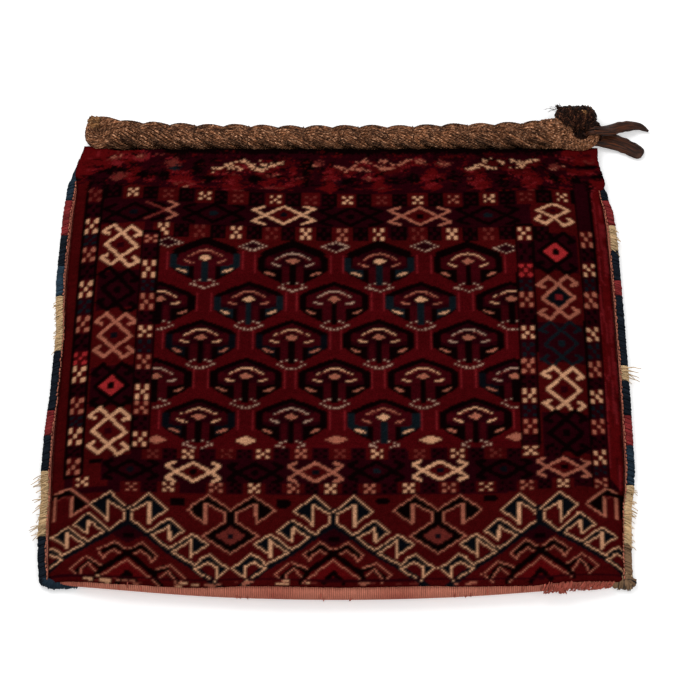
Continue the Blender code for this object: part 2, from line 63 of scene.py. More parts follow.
# The bag's own sizes, in metres, as its source has them
BAG_WIDTH = 0.762
SIDE_BULGE = 0.005
MOUTH_PULL = 0.012
MOUTH_PULL_LENGTH = 0.050
MOUTH_Y = 0.308
BAG_LENGTH = 0.631
CORNER_Y = MOUTH_Y - BAG_LENGTH
BOTTOM_BOW = 0.024
BACK_THICKNESS = 0.0025
HEM_REACH = 0.036
FOLD_HEIGHT = 0.031
CROWN_HEIGHT = 0.050
MOUTH_HEIGHT = 0.026
CROWN_RISE_LENGTH = 0.150
CROWN_FALL_LENGTH = 0.170
SIDE_SLOPE_WIDTH = 0.110
SIDE_SLOPE_POWER = 2.2
SURFACE_WAVE = 0.0012
WAVE_ACROSS = (31, 9)
WAVE_ALONG = (-7, 23)
CLEARANCE = 0.0004
SELVEDGE_WIDTH = 0.009
SELVEDGE_THICKNESS = 0.006
BINDING_WALL = 0.0026
BINDING_REACH = 0.0085
BINDING_MOUTH_GAP = 0.004
SELVEDGE_LIFT = BINDING_WALL + 2 * CLEARANCE
UNDERSIDE_TURN = 0.020
LEFT_BINDING = (
    ("dark_blue", 0.067), ("red", 0.056), ("navy", 0.048), ("blue", 0.047), ("ivory", 0.083),
    ("navy", 0.088), ("red", 0.036), ("navy", 0.050), ("ivory", 0.090), ("navy", None),
)
RIGHT_BINDING = (
    ("navy", 0.067), ("red", 0.040), ("ivory", 0.040), ("navy", 0.047), ("red", 0.023),
    ("navy", 0.106), ("ivory", 0.022), ("navy", 0.051), ("red", 0.043), ("dark_blue", 0.056),
    ("ivory", 0.082), ("grey_brown", None),
)
ROPE_WIDTH = 0.042
ROPE_THICKNESS = 0.026
ROPE_LEFT = 0.051 - BAG_WIDTH / 2
ROPE_RIGHT = BAG_WIDTH / 2 - 0.076
ROPE_LENGTH = ROPE_RIGHT - ROPE_LEFT
ROPE_END_SWELL = 0.12
MOUTH_SLIT = 0.012
BRAID_PERIOD = 0.118
STITCH_COUNT = 8
EYE_GAP = 0.018
EYE_RADIUS = 0.019
EYE_CORD = 0.015
THONG_THICKNESS = 0.004

# What scene.py adds to them
PILE_INSET = 0.0105
PILE_HALF = 0.3755
PILE_HEIGHT = 0.0045
PILE_OVERHANG = 0.005
FOLD_ANGLE = 0.21
KNOT_WIDTH = 0.00242
KNOT_HEIGHT = 0.00202
RIB_PITCH = 0.00273
WEAVE_REACH = BAG_WIDTH / 2 - 0.002
WEAVE_RIBS = round(2 * WEAVE_REACH / RIB_PITCH)
WEAVE_RIB = 2 * WEAVE_REACH / WEAVE_RIBS
YARN_PITCH = 0.0023

rng = np.random.default_rng(7)


def smooth(value):
    """A smooth step from 0 to 1."""
    value = min(max(value, 0.0), 1.0)
    return value * value * (3 - 2 * value)


# The bag's outline and heights

def half_width(y):
    """Half the cloth's width at a distance along the bag."""
    along = (y - CORNER_Y) / BAG_LENGTH
    bulge = SIDE_BULGE * (1 - (2 * along - 1) ** 2)
    pull = MOUTH_PULL * smooth((y - MOUTH_Y + MOUTH_PULL_LENGTH) / MOUTH_PULL_LENGTH)
    return BAG_WIDTH / 2 + bulge - pull


def fold_line(x):
    """Where the bottom fold turns, bowed out in the middle."""
    across = x / (BAG_WIDTH / 2)
    return CORNER_Y - BOTTOM_BOW * (1 - across * across)


def middle_height(y):
    """The face's height along the middle of the bag."""
    rise = smooth((y - CORNER_Y) / CROWN_RISE_LENGTH)
    fall = smooth((y - MOUTH_Y + CROWN_FALL_LENGTH) / CROWN_FALL_LENGTH)
    crown = FOLD_HEIGHT + (CROWN_HEIGHT - FOLD_HEIGHT) * rise
    return crown + (MOUTH_HEIGHT - crown) * fall


def side_share(inset):
    """How far the face has risen at a distance in from the selvedge."""
    run = min(max(inset - SELVEDGE_WIDTH, 0.0) / SIDE_SLOPE_WIDTH, 1.0)
    return 1 - (1 - run) ** SIDE_SLOPE_POWER


def top_height(x, y):
    """The face's height, with its slight waves."""
    share = side_share(half_width(y) - abs(x))
    edge = SELVEDGE_LIFT + SELVEDGE_THICKNESS
    across = WAVE_ACROSS[0] * x + WAVE_ACROSS[1] * y
    along = WAVE_ALONG[0] * x + WAVE_ALONG[1] * y
    wave = SURFACE_WAVE * math.sin(across) * math.cos(along)
    return edge + (middle_height(y) + wave - edge) * share


def under_height(x, y):
    """The back's height, which turns up towards the selvedges."""
    inset = half_width(y) - abs(x) - SELVEDGE_WIDTH
    return SELVEDGE_LIFT * (1 - smooth(inset / UNDERSIDE_TURN))


def fold_arc(x):
    """The fold's round profile over a place across the bag: its radius, centre height and top's place."""
    y = fold_line(x) + FOLD_HEIGHT / 2
    top, under = top_height(x, y), under_height(x, y)
    radius = (top - under) / 2
    return radius, (top + under) / 2, fold_line(x) + radius


def pile_end(x):
    """Where the pile stops, a little way round the fold."""
    radius, _, top_y = fold_arc(x)
    return top_y - radius * math.sin(FOLD_ANGLE)


def reach_at(table, place):
    """A reach given at a few places, straight between them."""
    return float(np.interp(place, [known for known, _ in table], [reach for _, reach in table]))


# How much further round the fold the last rows of pile reach: distance across the bag and reach
FOLD_DROP = ((-0.36, 0.003), (-0.29, 0.009), (-0.22, 0.0075), (-0.18, 0.005), (-0.12, 0.0), (0.12, 0.0),
             (0.20, 0.005), (0.25, 0.009), (0.36, 0.003))


PILE_BOTTOM = pile_end(0.0)
PILE_LENGTH = MOUTH_Y - PILE_BOTTOM


# How far each side strays outward from the plain outline: distance along the bag and reach
SIDE_STRAY = {
    -1: ((-0.323, 0.001), (-0.29, 0.005), (-0.25, 0.006), (-0.21, 0.0045), (-0.17, 0.007), (-0.115, 0.006),
         (-0.065, 0.0025), (-0.02, 0.0015), (0.035, 0.0005), (0.07, 0.004), (0.11, 0.0068), (0.22, 0.0065),
         (0.24, 0.005), (0.264, 0.0045), (0.285, 0.008), (0.308, 0.006)),
    1: ((-0.323, -0.004), (-0.29, -0.004), (-0.25, -0.0025), (-0.22, -0.001), (-0.20, 0.003), (-0.17, 0.006),
        (0.0, 0.006), (0.19, 0.006), (0.22, 0.004), (0.24, -0.001), (0.27, -0.003), (0.308, 0.001)),
}
STRAY_START = 0.945
COVER_LIFT = 0.0040
COVER_LENGTH = {-1: 0.045, 1: 0.060}
COVER_FADE = 0.018
COVER_START, COVER_RUN = 0.93, 0.07
# How far the pile's sides lie out over the bindings near the mouth: distance along the bag and reach
COVER_REACH = {
    -1: ((0.258, 0.0), (0.275, 0.0065), (0.298, 0.0135), (0.325, 0.0070)),
    1: ((0.243, 0.0), (0.262, 0.0100), (0.285, 0.0120), (0.321, 0.0145)),
}
# How much further up the face's top corners reach, and where along the mouth that starts
CORNER_REACH = {-1: 2.4, 1: 1.8}
CORNER_START, CORNER_RUN = 0.31, 0.05
BOW_POWER = 4
DROP_POWER = 10


def cover(side, y):
    """Where the pile lies over the binding, near the mouth."""
    return smooth((y - MOUTH_Y + COVER_LENGTH[side]) / COVER_FADE)


def stray(side, y):
    """How far a side strays outward."""
    return reach_at(SIDE_STRAY[side], y)


def strayed(x, y):
    """Move a place near the cloth's side outward with it."""
    side = 1 if x > 0 else -1
    share = abs(x) / half_width(max(min(y, MOUTH_Y), CORNER_Y))
    return x + side * stray(side, y) * smooth((share - STRAY_START) / (1 - STRAY_START))


def face_point(xd, yd, sink=0.0):
    """A point of the face from its place in the flat design, lowered by a depth."""
    across = xd / PILE_HALF
    side = 1 if xd > 0 else -1
    near_x = across * (half_width(max(yd, CORNER_Y)) - PILE_INSET)
    length = (MOUTH_Y - yd) / PILE_LENGTH
    y = yd + (pile_end(near_x) - PILE_BOTTOM) * max(0.0, length) ** BOW_POWER
    near = smooth((abs(across) - COVER_START) / COVER_RUN)
    x = across * (half_width(max(y, CORNER_Y)) - PILE_INSET)
    radius, centre, top_y = fold_arc(x)
    if y > MOUTH_Y:
        y = MOUTH_Y + (y - MOUTH_Y) * (1 + CORNER_REACH[side] * smooth((abs(x) - CORNER_START) / CORNER_RUN))
    y -= reach_at(FOLD_DROP, x) * max(0.0, length) ** DROP_POWER
    if y < top_y:
        angle = (top_y - y) / radius
        reach = radius - sink
        return strayed(x, y), top_y - reach * math.sin(angle), centre + reach * math.cos(angle)
    lift = COVER_LIFT * near * cover(side, y)
    outward = side * near * reach_at(COVER_REACH[side], y)
    return strayed(x, y) + outward, y, top_height(x, y) - sink + lift


# Meshes

def new_piece(name, vertices, faces, material):
    """One object at the origin, with its place in its mesh, riding on the bag."""
    mesh = bpy.data.meshes.new(name)
    mesh.from_pydata([tuple(vertex) for vertex in vertices], [], faces)
    mesh.shade_smooth()
    piece = bpy.data.objects.new(name, mesh)
    bpy.context.scene.collection.objects.link(piece)
    mesh.materials.append(material)
    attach(piece, "root")
    return piece


def strand_frames(path):
    """Side and up directions along a path, and the distance run."""
    ahead = np.gradient(path, axis=0)
    ahead /= np.linalg.norm(ahead, axis=1)[:, None] + 1e-12
    along = np.concatenate([[0.0], np.cumsum(np.linalg.norm(np.diff(path, axis=0), axis=1))])
    side = np.cross(ahead, (0.0, 0.0, 1.0))
    weak = np.linalg.norm(side, axis=1) < 0.15
    side[weak] = np.cross(ahead[weak], (0.0, 1.0, 0.0))
    for i in range(1, len(path)):
        if np.dot(side[i], side[i - 1]) < 0:
            side[i] = -side[i]
    side /= np.linalg.norm(side, axis=1)[:, None]
    return side, np.cross(side, ahead), along


def grid_faces(rows, columns, start):
    """The four-cornered faces of a grid of points, row by row."""
    faces = []
    for i in range(rows):
        for j in range(columns):
            k = start + i * (columns + 1) + j
            faces.append((k, k + 1, k + columns + 2, k + columns + 1))
    return faces


def grid_border(rows, columns):
    """The points round a grid's edge, in order."""
    border = list(range(columns + 1))
    border += [i * (columns + 1) + columns for i in range(1, rows + 1)]
    border += [rows * (columns + 1) + j for j in range(columns - 1, -1, -1)]
    border += [i * (columns + 1) for i in range(rows - 1, 0, -1)]
    return border


def rim_faces(rows, columns, under):
    """Walls between two like grids, the second starting at under."""
    border = grid_border(rows, columns)
    faces = []
    for n, k in enumerate(border):
        after = border[(n + 1) % len(border)]
        faces.append((k, under + k, under + after, after))
    return faces


def curve_through(points, step):
    """A smooth line through a few points, at about one step between its own points."""
    points = np.asarray(points, dtype=float)
    doubled = np.concatenate([[2 * points[0] - points[1]], points, [2 * points[-1] - points[-2]]])
    line = []
    for i in range(1, len(doubled) - 2):
        before, start, end, after = doubled[i - 1:i + 3]
        count = max(2, round(np.linalg.norm(end - start) / step))
        for k in range(count):
            t = k / count
            bend = 2 * before - 5 * start + 4 * end - after
            twist = 3 * start - before - 3 * end + after
            line.append(0.5 * (2 * start + (end - before) * t + bend * t * t + twist * t ** 3))
    line.append(points[-1])
    return np.array(line)


# How much painted shade the grooves between plies get
GROOVE_SHADE = 2.6


class Strands:
    """Round and flattened strands gathered into one mesh, with marks for their fibre and shade."""

    def __init__(self):
        self.points = []
        self.faces = []
        self.fibre = []
        self.shade = []
        self.count = 0

    def add(self, path, radius, sides=6, relief=None, flat=None, twist=0.0, shade=0.5):
        """A strand along a path. radius is one number or one per point; flat is its height share."""
        path = np.asarray(path, dtype=float)
        steps = len(path)
        radius = np.broadcast_to(np.asarray(radius, dtype=float), (steps,))
        flat = np.ones(steps) if flat is None else np.broadcast_to(np.asarray(flat, float), (steps,))
        side, up, along = strand_frames(path)
        angle = 2 * math.pi * np.arange(sides) / sides
        grid_angle, grid_along = np.meshgrid(angle, along)
        reach = np.repeat(radius[:, None], sides, axis=1)
        if relief is not None:
            reach = reach * (1 + relief(grid_along, grid_angle))
        offset = side[:, None, :] * (reach * np.cos(grid_angle))[:, :, None]
        offset = offset + up[:, None, :] * (reach * flat[:, None] * np.sin(grid_angle))[:, :, None]
        start = self.count
        self.points.append((path[:, None, :] + offset).reshape(-1, 3))
        turned = grid_angle - twist * grid_along
        own_stretch = grid_along + rng.uniform(0, 3)
        fibre = np.stack([own_stretch, radius[:, None] * np.cos(turned), radius[:, None] * np.sin(turned)], 2)
        self.fibre.append(fibre.reshape(-1, 3))
        # Painted shade: the shade mark gets darker where the ply relief dips into a groove.
        grooves = GROOVE_SHADE * (reach / radius[:, None] - 1)
        self.shade.append((np.broadcast_to(shade, (steps,))[:, None] + grooves).ravel())
        for i in range(steps - 1):
            low = start + i * sides
            for k in range(sides):
                m = (k + 1) % sides
                self.faces.append((low + k, low + sides + k, low + sides + m, low + m))
        self.faces.append(tuple(start + k for k in range(sides)))
        self.faces.append(tuple(start + (steps - 1) * sides + k for k in reversed(range(sides))))
        self.count += steps * sides

    def bundle(self, path, across, height, count, radius, twist=0.0, reliefs=(None,), shade=0.5, sides=8,
               crease_shade=0.0):
        """Yarns laid side by side round a path, as one flattened strand of a given half width and height."""
        path = np.asarray(path, dtype=float)
        side, up, along = strand_frames(path)
        for k in range(count):
            angle = 2 * math.pi * k / count + twist * along
            line = path + side * ((across - radius) * np.cos(angle))[:, None]
            line = line + up * ((height - radius) * np.sin(angle))[:, None]
            # Painted shade: yarns at the flat strand's two sides get darker, as the shade in the creases
            # between strands.
            own_shade = shade + rng.uniform(-0.3, 0.3) - crease_shade * np.abs(np.cos(angle)) ** 3
            self.add(line, radius, sides, reliefs[k % len(reliefs)], shade=own_shade)

    def make(self, name, material, slot):
        piece = new_piece(name, np.concatenate(self.points), self.faces, material)
        fibre = piece.data.attributes.new("fibre", "FLOAT_VECTOR", "POINT")
        fibre.data.foreach_set("vector", np.concatenate(self.fibre).ravel())
        shade = piece.data.attributes.new("shade", "FLOAT", "POINT")
        shade.data.foreach_set("value", np.concatenate(self.shade))
        return piece


def bent_path(start, end, sag, steps=5, wobble=0.0):
    """A soft bow between two points, pulled aside by sag."""
    start, end, sag = np.asarray(start, float), np.asarray(end, float), np.asarray(sag, float)
    shares = np.linspace(0, 1, steps)
    line = start + (end - start) * shares[:, None]
    line = line + sag * (4 * shares * (1 - shares))[:, None]
    if wobble:
        line[1:] += rng.normal(0, wobble, (steps - 1, 3))
    return line


# Materials

class Value:
    """A shader socket that takes part in sums."""

    def __init__(self, graph, socket):
        self.graph = graph
        self.socket = socket

    def maths(self, operation, first, second):
        return self.graph.node("ShaderNodeMath", {"operation": operation}, {0: first, 1: second})

    def __add__(self, other):
        return self.maths("ADD", self, other)

    def __sub__(self, other):
        return self.maths("SUBTRACT", self, other)

    def __rsub__(self, other):
        return self.maths("SUBTRACT", other, self)

    def __mul__(self, other):
        return self.maths("MULTIPLY", self, other)

    __radd__ = __add__
    __rmul__ = __mul__


class Graph:
    """A material's nodes round its main shader."""

    def __init__(self, name, roughness, specular):
        self.material = bpy.data.materials.new(name)
        self.material.use_nodes = True
        self.tree = self.material.node_tree
        self.shader = self.tree.nodes["Principled BSDF"]
        self.shader.inputs["Roughness"].default_value = roughness
        self.shader.inputs["Specular IOR Level"].default_value = specular

    def feed(self, socket, value):
        if isinstance(value, Value):
            self.tree.links.new(value.socket, socket)
        elif isinstance(value, tuple) and len(value) == 3 and len(socket.default_value) == 4:
            socket.default_value = (*value, 1.0)
        else:
            socket.default_value = value

    def node(self, kind, settings=None, inputs=None, output=0):
        """Add a node, set it up, feed it and hand back one of its outputs."""
        item = self.tree.nodes.new(kind)
        for key, value in (settings or {}).items():
            setattr(item, key, value)
        for key, value in (inputs or {}).items():
            self.feed(item.inputs[key], value)
        return Value(self, item.outputs[output])

    def place(self, scale=(1, 1, 1), attribute=None):
        """Object coordinates or a point attribute, stretched by a scale for each axis."""
        if attribute:
            source = self.attribute(attribute, "Vector")
        else:
            source = self.node("ShaderNodeTexCoord", output="Object")
        stretch = {"operation": "MULTIPLY"}
        return self.node("ShaderNodeVectorMath", stretch, {0: source, 1: scale})

    def axis(self, number):
        """One of the three object coordinates."""
        return self.node("ShaderNodeSeparateXYZ", None, {0: self.place()}, output=number)

    def noise(self, scale, detail, attribute=None):
        """Noise over the object's own place or a point attribute, finer where the scale is larger."""
        inputs = {"Vector": self.place(scale, attribute), "Scale": 1.0, "Detail": detail}
        return self.node("ShaderNodeTexNoise", None, inputs)

    def attribute(self, name, output="Fac"):
        return self.node("ShaderNodeAttribute", {"attribute_name": name}, output=output)

    def span(self, value, low, high, to_low=0.0, to_high=1.0):
        names = {"Value": value, "From Min": low, "From Max": high, "To Min": to_low, "To Max": to_high}
        return self.node("ShaderNodeMapRange", None, names)

    def mix(self, share, first, second, blend="MIX"):
        settings = {"data_type": "RGBA", "blend_type": blend}
        return self.node("ShaderNodeMix", settings, {0: share, 6: first, 7: second}, output=2)

    def shade(self, colour, factor):
        """A colour times a factor."""
        grey = self.node("ShaderNodeCombineColor", None, {0: factor, 1: factor, 2: factor})
        return self.mix(1.0, colour, grey, "MULTIPLY")

    def finish(self, colour, height=None, depth=0.0, strength=1.0):
        self.feed(self.shader.inputs["Base Color"], colour)
        if height is not None:
            relief = {"Height": height, "Distance": depth, "Strength": strength}
            self.feed(self.shader.inputs["Normal"], self.node("ShaderNodeBump", None, relief))
        return self.material


def rgb(red, green, blue):
    """A screen colour in the renderer's linear values."""
    def linear(value):
        value /= 255
        return value / 12.92 if value <= 0.04045 else ((value + 0.055) / 1.055) ** 2.4
    return linear(red), linear(green), linear(blue)


# The face's pattern, in millimetres on the flat design

PILE_HALF_MM = PILE_HALF * 1000
PILE_TOP = (MOUTH_Y + PILE_OVERHANG) * 1000
PILE_BOTTOM_MM = PILE_BOTTOM * 1000
KNOTS_ACROSS = round(2 * PILE_HALF / KNOT_WIDTH)
KNOT_ROWS = round(PILE_LENGTH / KNOT_HEIGHT)

(GROUND, BRIGHT, ROSE, MAROON, BLACK, NAVY, TEAL, IVORY, PINK, DULL, COTTON, WINE,
 FIELD, CORAL) = range(14)
YARN_COLOURS = (
    rgb(58, 6, 7),
    rgb(74, 7, 9),
    rgb(98, 20, 24),
    rgb(31, 2, 7),
    rgb(8, 2, 2),
    rgb(8, 9, 13),
    rgb(12, 19, 23),
    rgb(188, 138, 105),
    rgb(146, 84, 66),
    rgb(88, 32, 27),
    rgb(154, 122, 104),
    rgb(48, 4, 9),
    rgb(61, 5, 8),
    rgb(142, 34, 36),
)


class Knots:
    """The yarn of every knot of the face, drawn shape by shape in millimetres."""

    def __init__(self):
        across = (np.arange(KNOTS_ACROSS) + 0.5) / KNOTS_ACROSS
        along = (np.arange(KNOT_ROWS) + 0.5) / KNOT_ROWS
        self.x = (2 * across - 1) * PILE_HALF_MM
        self.y = PILE_BOTTOM_MM + (PILE_TOP - PILE_BOTTOM_MM) * along
        self.yarn = np.full((KNOT_ROWS, KNOTS_ACROSS), GROUND, dtype=np.int64)

    def window(self, points, margin):
        """The knots round some points: their row and column slices and their places."""
        xs = [point[0] for point in points]
        ys = [point[1] for point in points]
        columns = slice(*np.searchsorted(self.x, (min(xs) - margin, max(xs) + margin)))
        rows = slice(*np.searchsorted(self.y, (min(ys) - margin, max(ys) + margin)))
        x, y = np.meshgrid(self.x[columns], self.y[rows])
        return rows, columns, x, y

    def paint(self, rows, columns, mask, yarn):
        self.yarn[rows, columns][mask] = yarn

    def line(self, points, width, yarn):
        """A stroke along a line of points."""
        rows, columns, x, y = self.window(points, width)
        nearest = np.full(x.shape, np.inf)
        for (ax, ay), (bx, by) in zip(points, points[1:]):
            run_x, run_y = bx - ax, by - ay
            length = run_x * run_x + run_y * run_y
            share = ((x - ax) * run_x + (y - ay) * run_y) / max(length, 1e-9)
            share = np.clip(share, 0.0, 1.0)
            gap = np.hypot(x - ax - share * run_x, y - ay - share * run_y)
            nearest = np.minimum(nearest, gap)
        self.paint(rows, columns, nearest <= width / 2, yarn)

    def ring(self, points, width, yarn):
        self.line(list(points) + [points[0]], width, yarn)

    def thread(self, points, yarn):
        """A line one knot thick."""
        rows, columns = self.yarn.shape
        for start, end in zip(points, points[1:]):
            places = np.array([start, end], dtype=float)
            across = (places[:, 0] / PILE_HALF_MM + 1) / 2 * columns - 0.5
            along = (places[:, 1] - PILE_BOTTOM_MM) / (PILE_TOP - PILE_BOTTOM_MM) * rows - 0.5
            count = max(1, round(max(abs(across[1] - across[0]), abs(along[1] - along[0]))))
            column = np.rint(np.linspace(across[0], across[1], count + 1)).astype(int)
            row = np.rint(np.linspace(along[0], along[1], count + 1)).astype(int)
            inside = (column >= 0) & (column < columns) & (row >= 0) & (row < rows)
            self.yarn[row[inside], column[inside]] = yarn

    def blur(self, low, high, reach_across, reach_along):
        """Let the knots between two heights stray from their places, as in a worn and leaning pile."""
        rows = np.nonzero((self.y > low) & (self.y < high))[0]
        row, column = np.meshgrid(rows, np.arange(len(self.x)), indexing="ij")
        from_row = row + np.rint(rng.normal(0, reach_along, row.shape)).astype(int)
        from_column = column + np.rint(rng.normal(0, reach_across, row.shape)).astype(int)
        from_row = np.clip(from_row, 0, len(self.y) - 1)
        from_column = np.clip(from_column, 0, len(self.x) - 1)
        self.yarn[rows] = self.yarn[from_row, from_column]

    def area(self, points, yarn):
        """A filled outline."""
        rows, columns, x, y = self.window(points, 1.0)
        inside = np.zeros(x.shape, dtype=bool)
        for (ax, ay), (bx, by) in zip(points, list(points[1:]) + [points[0]]):
            if ay == by:
                continue
            crosses = (ay > y) != (by > y)
            inside ^= crosses & (x < ax + (y - ay) * (bx - ax) / (by - ay))
        self.paint(rows, columns, inside, yarn)

    def dot(self, x, y, width, height, yarn):
        """An oval spot."""
        corners = [(x - width / 2, y - height / 2), (x + width / 2, y + height / 2)]
        rows, columns, px, py = self.window(corners, 0.5)
        mask = ((px - x) / width) ** 4 + ((py - y) / height) ** 4 <= 0.5 ** 4 * 1.15
        self.paint(rows, columns, mask, yarn)

    def block(self, left, right, low, high, yarn):
        self.area([(left, low), (right, low), (right, high), (left, high)], yarn)

    def lozenge(self, x, y, reach, rise, yarn):
        self.area([(x - reach, y), (x, y + rise), (x + reach, y), (x, y - rise)], yarn)


# Small flowers and the narrow bands

def flower(knots, x, y, yarn, width=18, height=17, skew=0.0):
    """Five spots set as a cross."""
    reach_x, reach_y = width * 0.32, height * 0.32
    for side in (-1, 1):
        for end in (-1, 1):
            px = x + side * reach_x
            knots.dot(px, y + end * reach_y + skew * side * reach_x, width * 0.27, height * 0.29, yarn)
    knots.dot(x, y, width * 0.25, height * 0.25, yarn)


def row_height(x, middle, left_rise, right_rise):
    """A woven row bows up towards the sides."""
    share = (x - 20) / 300
    return middle + (left_rise if share < 0 else right_rise) * share * share


# Flowers of the four long rows, from left to right: x and yarn
ROW_A = ((-351, DULL), (-293.5, IVORY), (-242, DULL), (-190, IVORY), (-142.5, DULL), (-90.5, IVORY),
         (-40, DULL), (11.5, IVORY), (61, DULL), (111.5, IVORY), (161.5, PINK), (212.5, IVORY),
         (265, DULL), (316.5, IVORY))
ROW_B = ((-245, IVORY), (-193.5, DULL), (-142.5, IVORY), (-93.5, DULL), (-46, IVORY), (5, PINK),
         (55, IVORY), (110, DULL), (157.5, IVORY), (208, DULL), (258, IVORY))
ROW_C = ((-242, DULL), (-196, IVORY), (-146, DULL), (-98.5, IVORY), (-48.5, PINK), (2.5, DULL),
         (51.5, IVORY), (106.5, DULL), (156.5, IVORY), (206.5, DULL), (255, IVORY))
ROW_D = ((-268.5, PINK), (-221, IVORY), (-158.5, PINK), (-108.5, IVORY), (-57.5, PINK), (-10, IVORY),
         (41.5, PINK), (92.5, IVORY), (144, PINK), (193, IVORY), (245.5, PINK), (293, IVORY),
         (345, PINK))


def flower_row(knots, spots, middle, left_rise, right_rise, height, size, dark, faint):
    """Flowers on red blocks, with dark blocks that hold faint flowers between them."""
    half = height / 2
    for (x, yarn), (after, _) in zip(spots, list(spots[1:]) + [(spots[-1][0] + 50, None)]):
        between = (x + after) / 2
        for place, block_yarn, reach in ((x, GROUND, 14), (between, dark, 11)):
            y = row_height(place, middle, left_rise, right_rise)
            knots.block(place - reach, place + reach, y - half, y + half, block_yarn)
        if after - x < 60:
            y = row_height(between, middle, left_rise, right_rise)
            flower(knots, between, y, faint, size[0], size[1])
        y = row_height(x, middle, left_rise, right_rise)
        flower(knots, x, y, yarn, size[0], size[1])


# Flowers of the four narrow upright bands, from the top: y, yarn and height
LEFT_OUTER = ((240, DULL, 22), (188, IVORY, 26), (141.5, PINK, 24), (88, IVORY, 26), (34.5, PINK, 26),
              (-17, CORAL, 20), (-41, IVORY, 25), (-88, PINK, 25), (-132.5, IVORY, 26), (-176, PINK, 24))
LEFT_INNER = ((156, PINK, 14), (108, IVORY, 28), (58, PINK, 25), (13.5, IVORY, 18), (-31, PINK, 22),
              (-75, IVORY, 22), (-98, PINK, 20), (-143.5, IVORY, 22))
RIGHT_INNER = ((164.5, IVORY, 22), (106, CORAL, 22), (60.5, PINK, 24), (12, IVORY, 20), (-37, PINK, 24),
               (-81, IVORY, 22), (-125, PINK, 22), (-159.5, IVORY, 15))
RIGHT_OUTER = ((165, PINK, 26), (117, IVORY, 20), (70, PINK, 26), (18, IVORY, 22), (-35, PINK, 24),
               (-75, IVORY, 20), (-119, PINK, 22), (-164, IVORY, 22), (-200, PINK, 14))
# Those bands' top, bottom, flowers, skew and width
BANDS = (
    ((-349, 262), (-349, -190), LEFT_OUTER, -0.22, 21),
    ((-261, 168), (-260, -156), LEFT_INNER, 0.0, 20),
    ((258, 178), (252, -156), RIGHT_INNER, 0.0, 20),
    ((347.5, 262), (345, -210), RIGHT_OUTER, 0.33, 20),
)


def upright_band(knots, top, bottom, spots, skew, width):
    """A dark band with edge lines, and flowers on red blocks down its middle."""
    def middle(y):
        share = (y - bottom[1]) / (top[1] - bottom[1])
        return bottom[0] + (top[0] - bottom[0]) * share

    reach = width / 2 + 1.5
    corners = [(top[0] - reach, top[1]), (top[0] + reach, top[1])]
    corners += [(bottom[0] + reach, bottom[1]), (bottom[0] - reach, bottom[1])]
    knots.area(corners, MAROON)
    knots.ring(corners, 3.4, BLACK)
    marks = [top[1]] + [spot[0] for spot in spots] + [bottom[1]]
    for i, (y, yarn, height) in enumerate(spots):
        x = middle(y)
        below = (y + marks[i + 2]) / 2
        gap = y - height / 2 - (marks[i + 2] + (spots[i + 1][2] / 2 if i + 1 < len(spots) else 0))
        if gap > 12:
            flower(knots, middle(below), below, TEAL if i % 2 else BLACK, width * 0.9, gap * 0.8, skew)
        low, high = y - height * 0.52, y + height * 0.52
        rise = skew * width / 2
        red = [(x - width / 2, low - rise), (x + width / 2, low + rise)]
        red += [(x + width / 2, high + rise), (x - width / 2, high - rise)]
        knots.area(red, GROUND)
        flower(knots, x, y, yarn, width * 0.94, height, skew)


# The hooked diamonds of the wide borders, as the hook in one quarter: x and y from the middle
TALL = {"diamond": (22.5, 19), "hook": ((0, 19), (13, 31), (28, 20.5), (19.5, 16.5)), "stroke": 4.9}
WIDE = {"diamond": (26, 15.5), "hook": ((26, 0), (43, 10), (27, 15.5)), "stroke": 4.1}
LOW = {"diamond": (23, 12.5), "hook": ((23, 0), (35, 8.5), (25, 12.5)), "stroke": 4.2}


def hooked(knots, x, y, shape, yarn, heart, core, skew=0.0, tall=1.0):
    """A diamond whose ends cross into four hooks."""
    wide, high = shape["diamond"]

    def at(u, v):
        return x + u, y + v * tall + skew * u

    stroke = shape["stroke"] * (1.35 if yarn == BLACK else 0.92)
    corners = [at(-wide, 0), at(0, high), at(wide, 0), at(0, -high)]
    knots.area(corners, heart)
    knots.ring(corners, stroke, yarn)
    for side in (-1, 1):
        for end in (-1, 1):
            knots.line([at(side * u, end * v) for u, v in shape["hook"]], stroke, yarn)
    knots.dot(x, y, wide * 0.42, high * 0.5, core)


# The wide upright borders from the top: y, yarn, heart, core and skew
LEFT_BORDER = ((148, IVORY, GROUND, MAROON, -0.2), (78, BLACK, MAROON, BLACK, -0.26),
               (9.5, PINK, GROUND, NAVY, -0.12), (-65.5, BLACK, CORAL, BLACK, 0.0),
               (-131, IVORY, GROUND, MAROON, -0.12))
RIGHT_BORDER = ((136, BLACK, CORAL, BLACK, 0.0), (66.5, PINK, NAVY, ROSE, 0.14),
                (-3, TEAL, MAROON, TEAL, 0.1), (-70.5, IVORY, GROUND, MAROON, 0.0),
                (-134, BLACK, MAROON, BLACK, 0.08))


def cut_motif(knots, x, y):
    """The border's last motif, squeezed by the band above it."""
    knots.area([(x - 31, y + 16), (x + 33, y + 22), (x + 33, y - 34), (x - 31, y - 34)], GROUND)
    knots.ring([(x - 23, y - 1), (x, y + 12), (x + 23, y + 3), (x, y - 12)], 3.8, IVORY)
    knots.dot(x, y, 8, 5, MAROON)
    for side in (-1, 1):
        hook = [(x, y - 12), (x + side * 13, y - 24), (x + side * 27, y - 16), (x + side * 20, y - 11)]
        knots.line(hook, 4.2, IVORY)


def draw_borders(knots):
    knots.area([(-335, 186), (-272, 184), (-272, -166), (-338, -170)], GROUND)
    knots.area([(270, 212), (336, 222), (331, -172), (264, -164)], GROUND)
    for x, motifs in ((-302, LEFT_BORDER), (300, RIGHT_BORDER)):
        for y, yarn, heart, core, skew in motifs:
            if yarn != IVORY and yarn != PINK:
                knots.block(x - 31, x + 31, y - 28, y + 30, MAROON)
            hooked(knots, x, y, TALL, yarn, heart, core, skew, 1.04)
    cut_motif(knots, 302, 205)


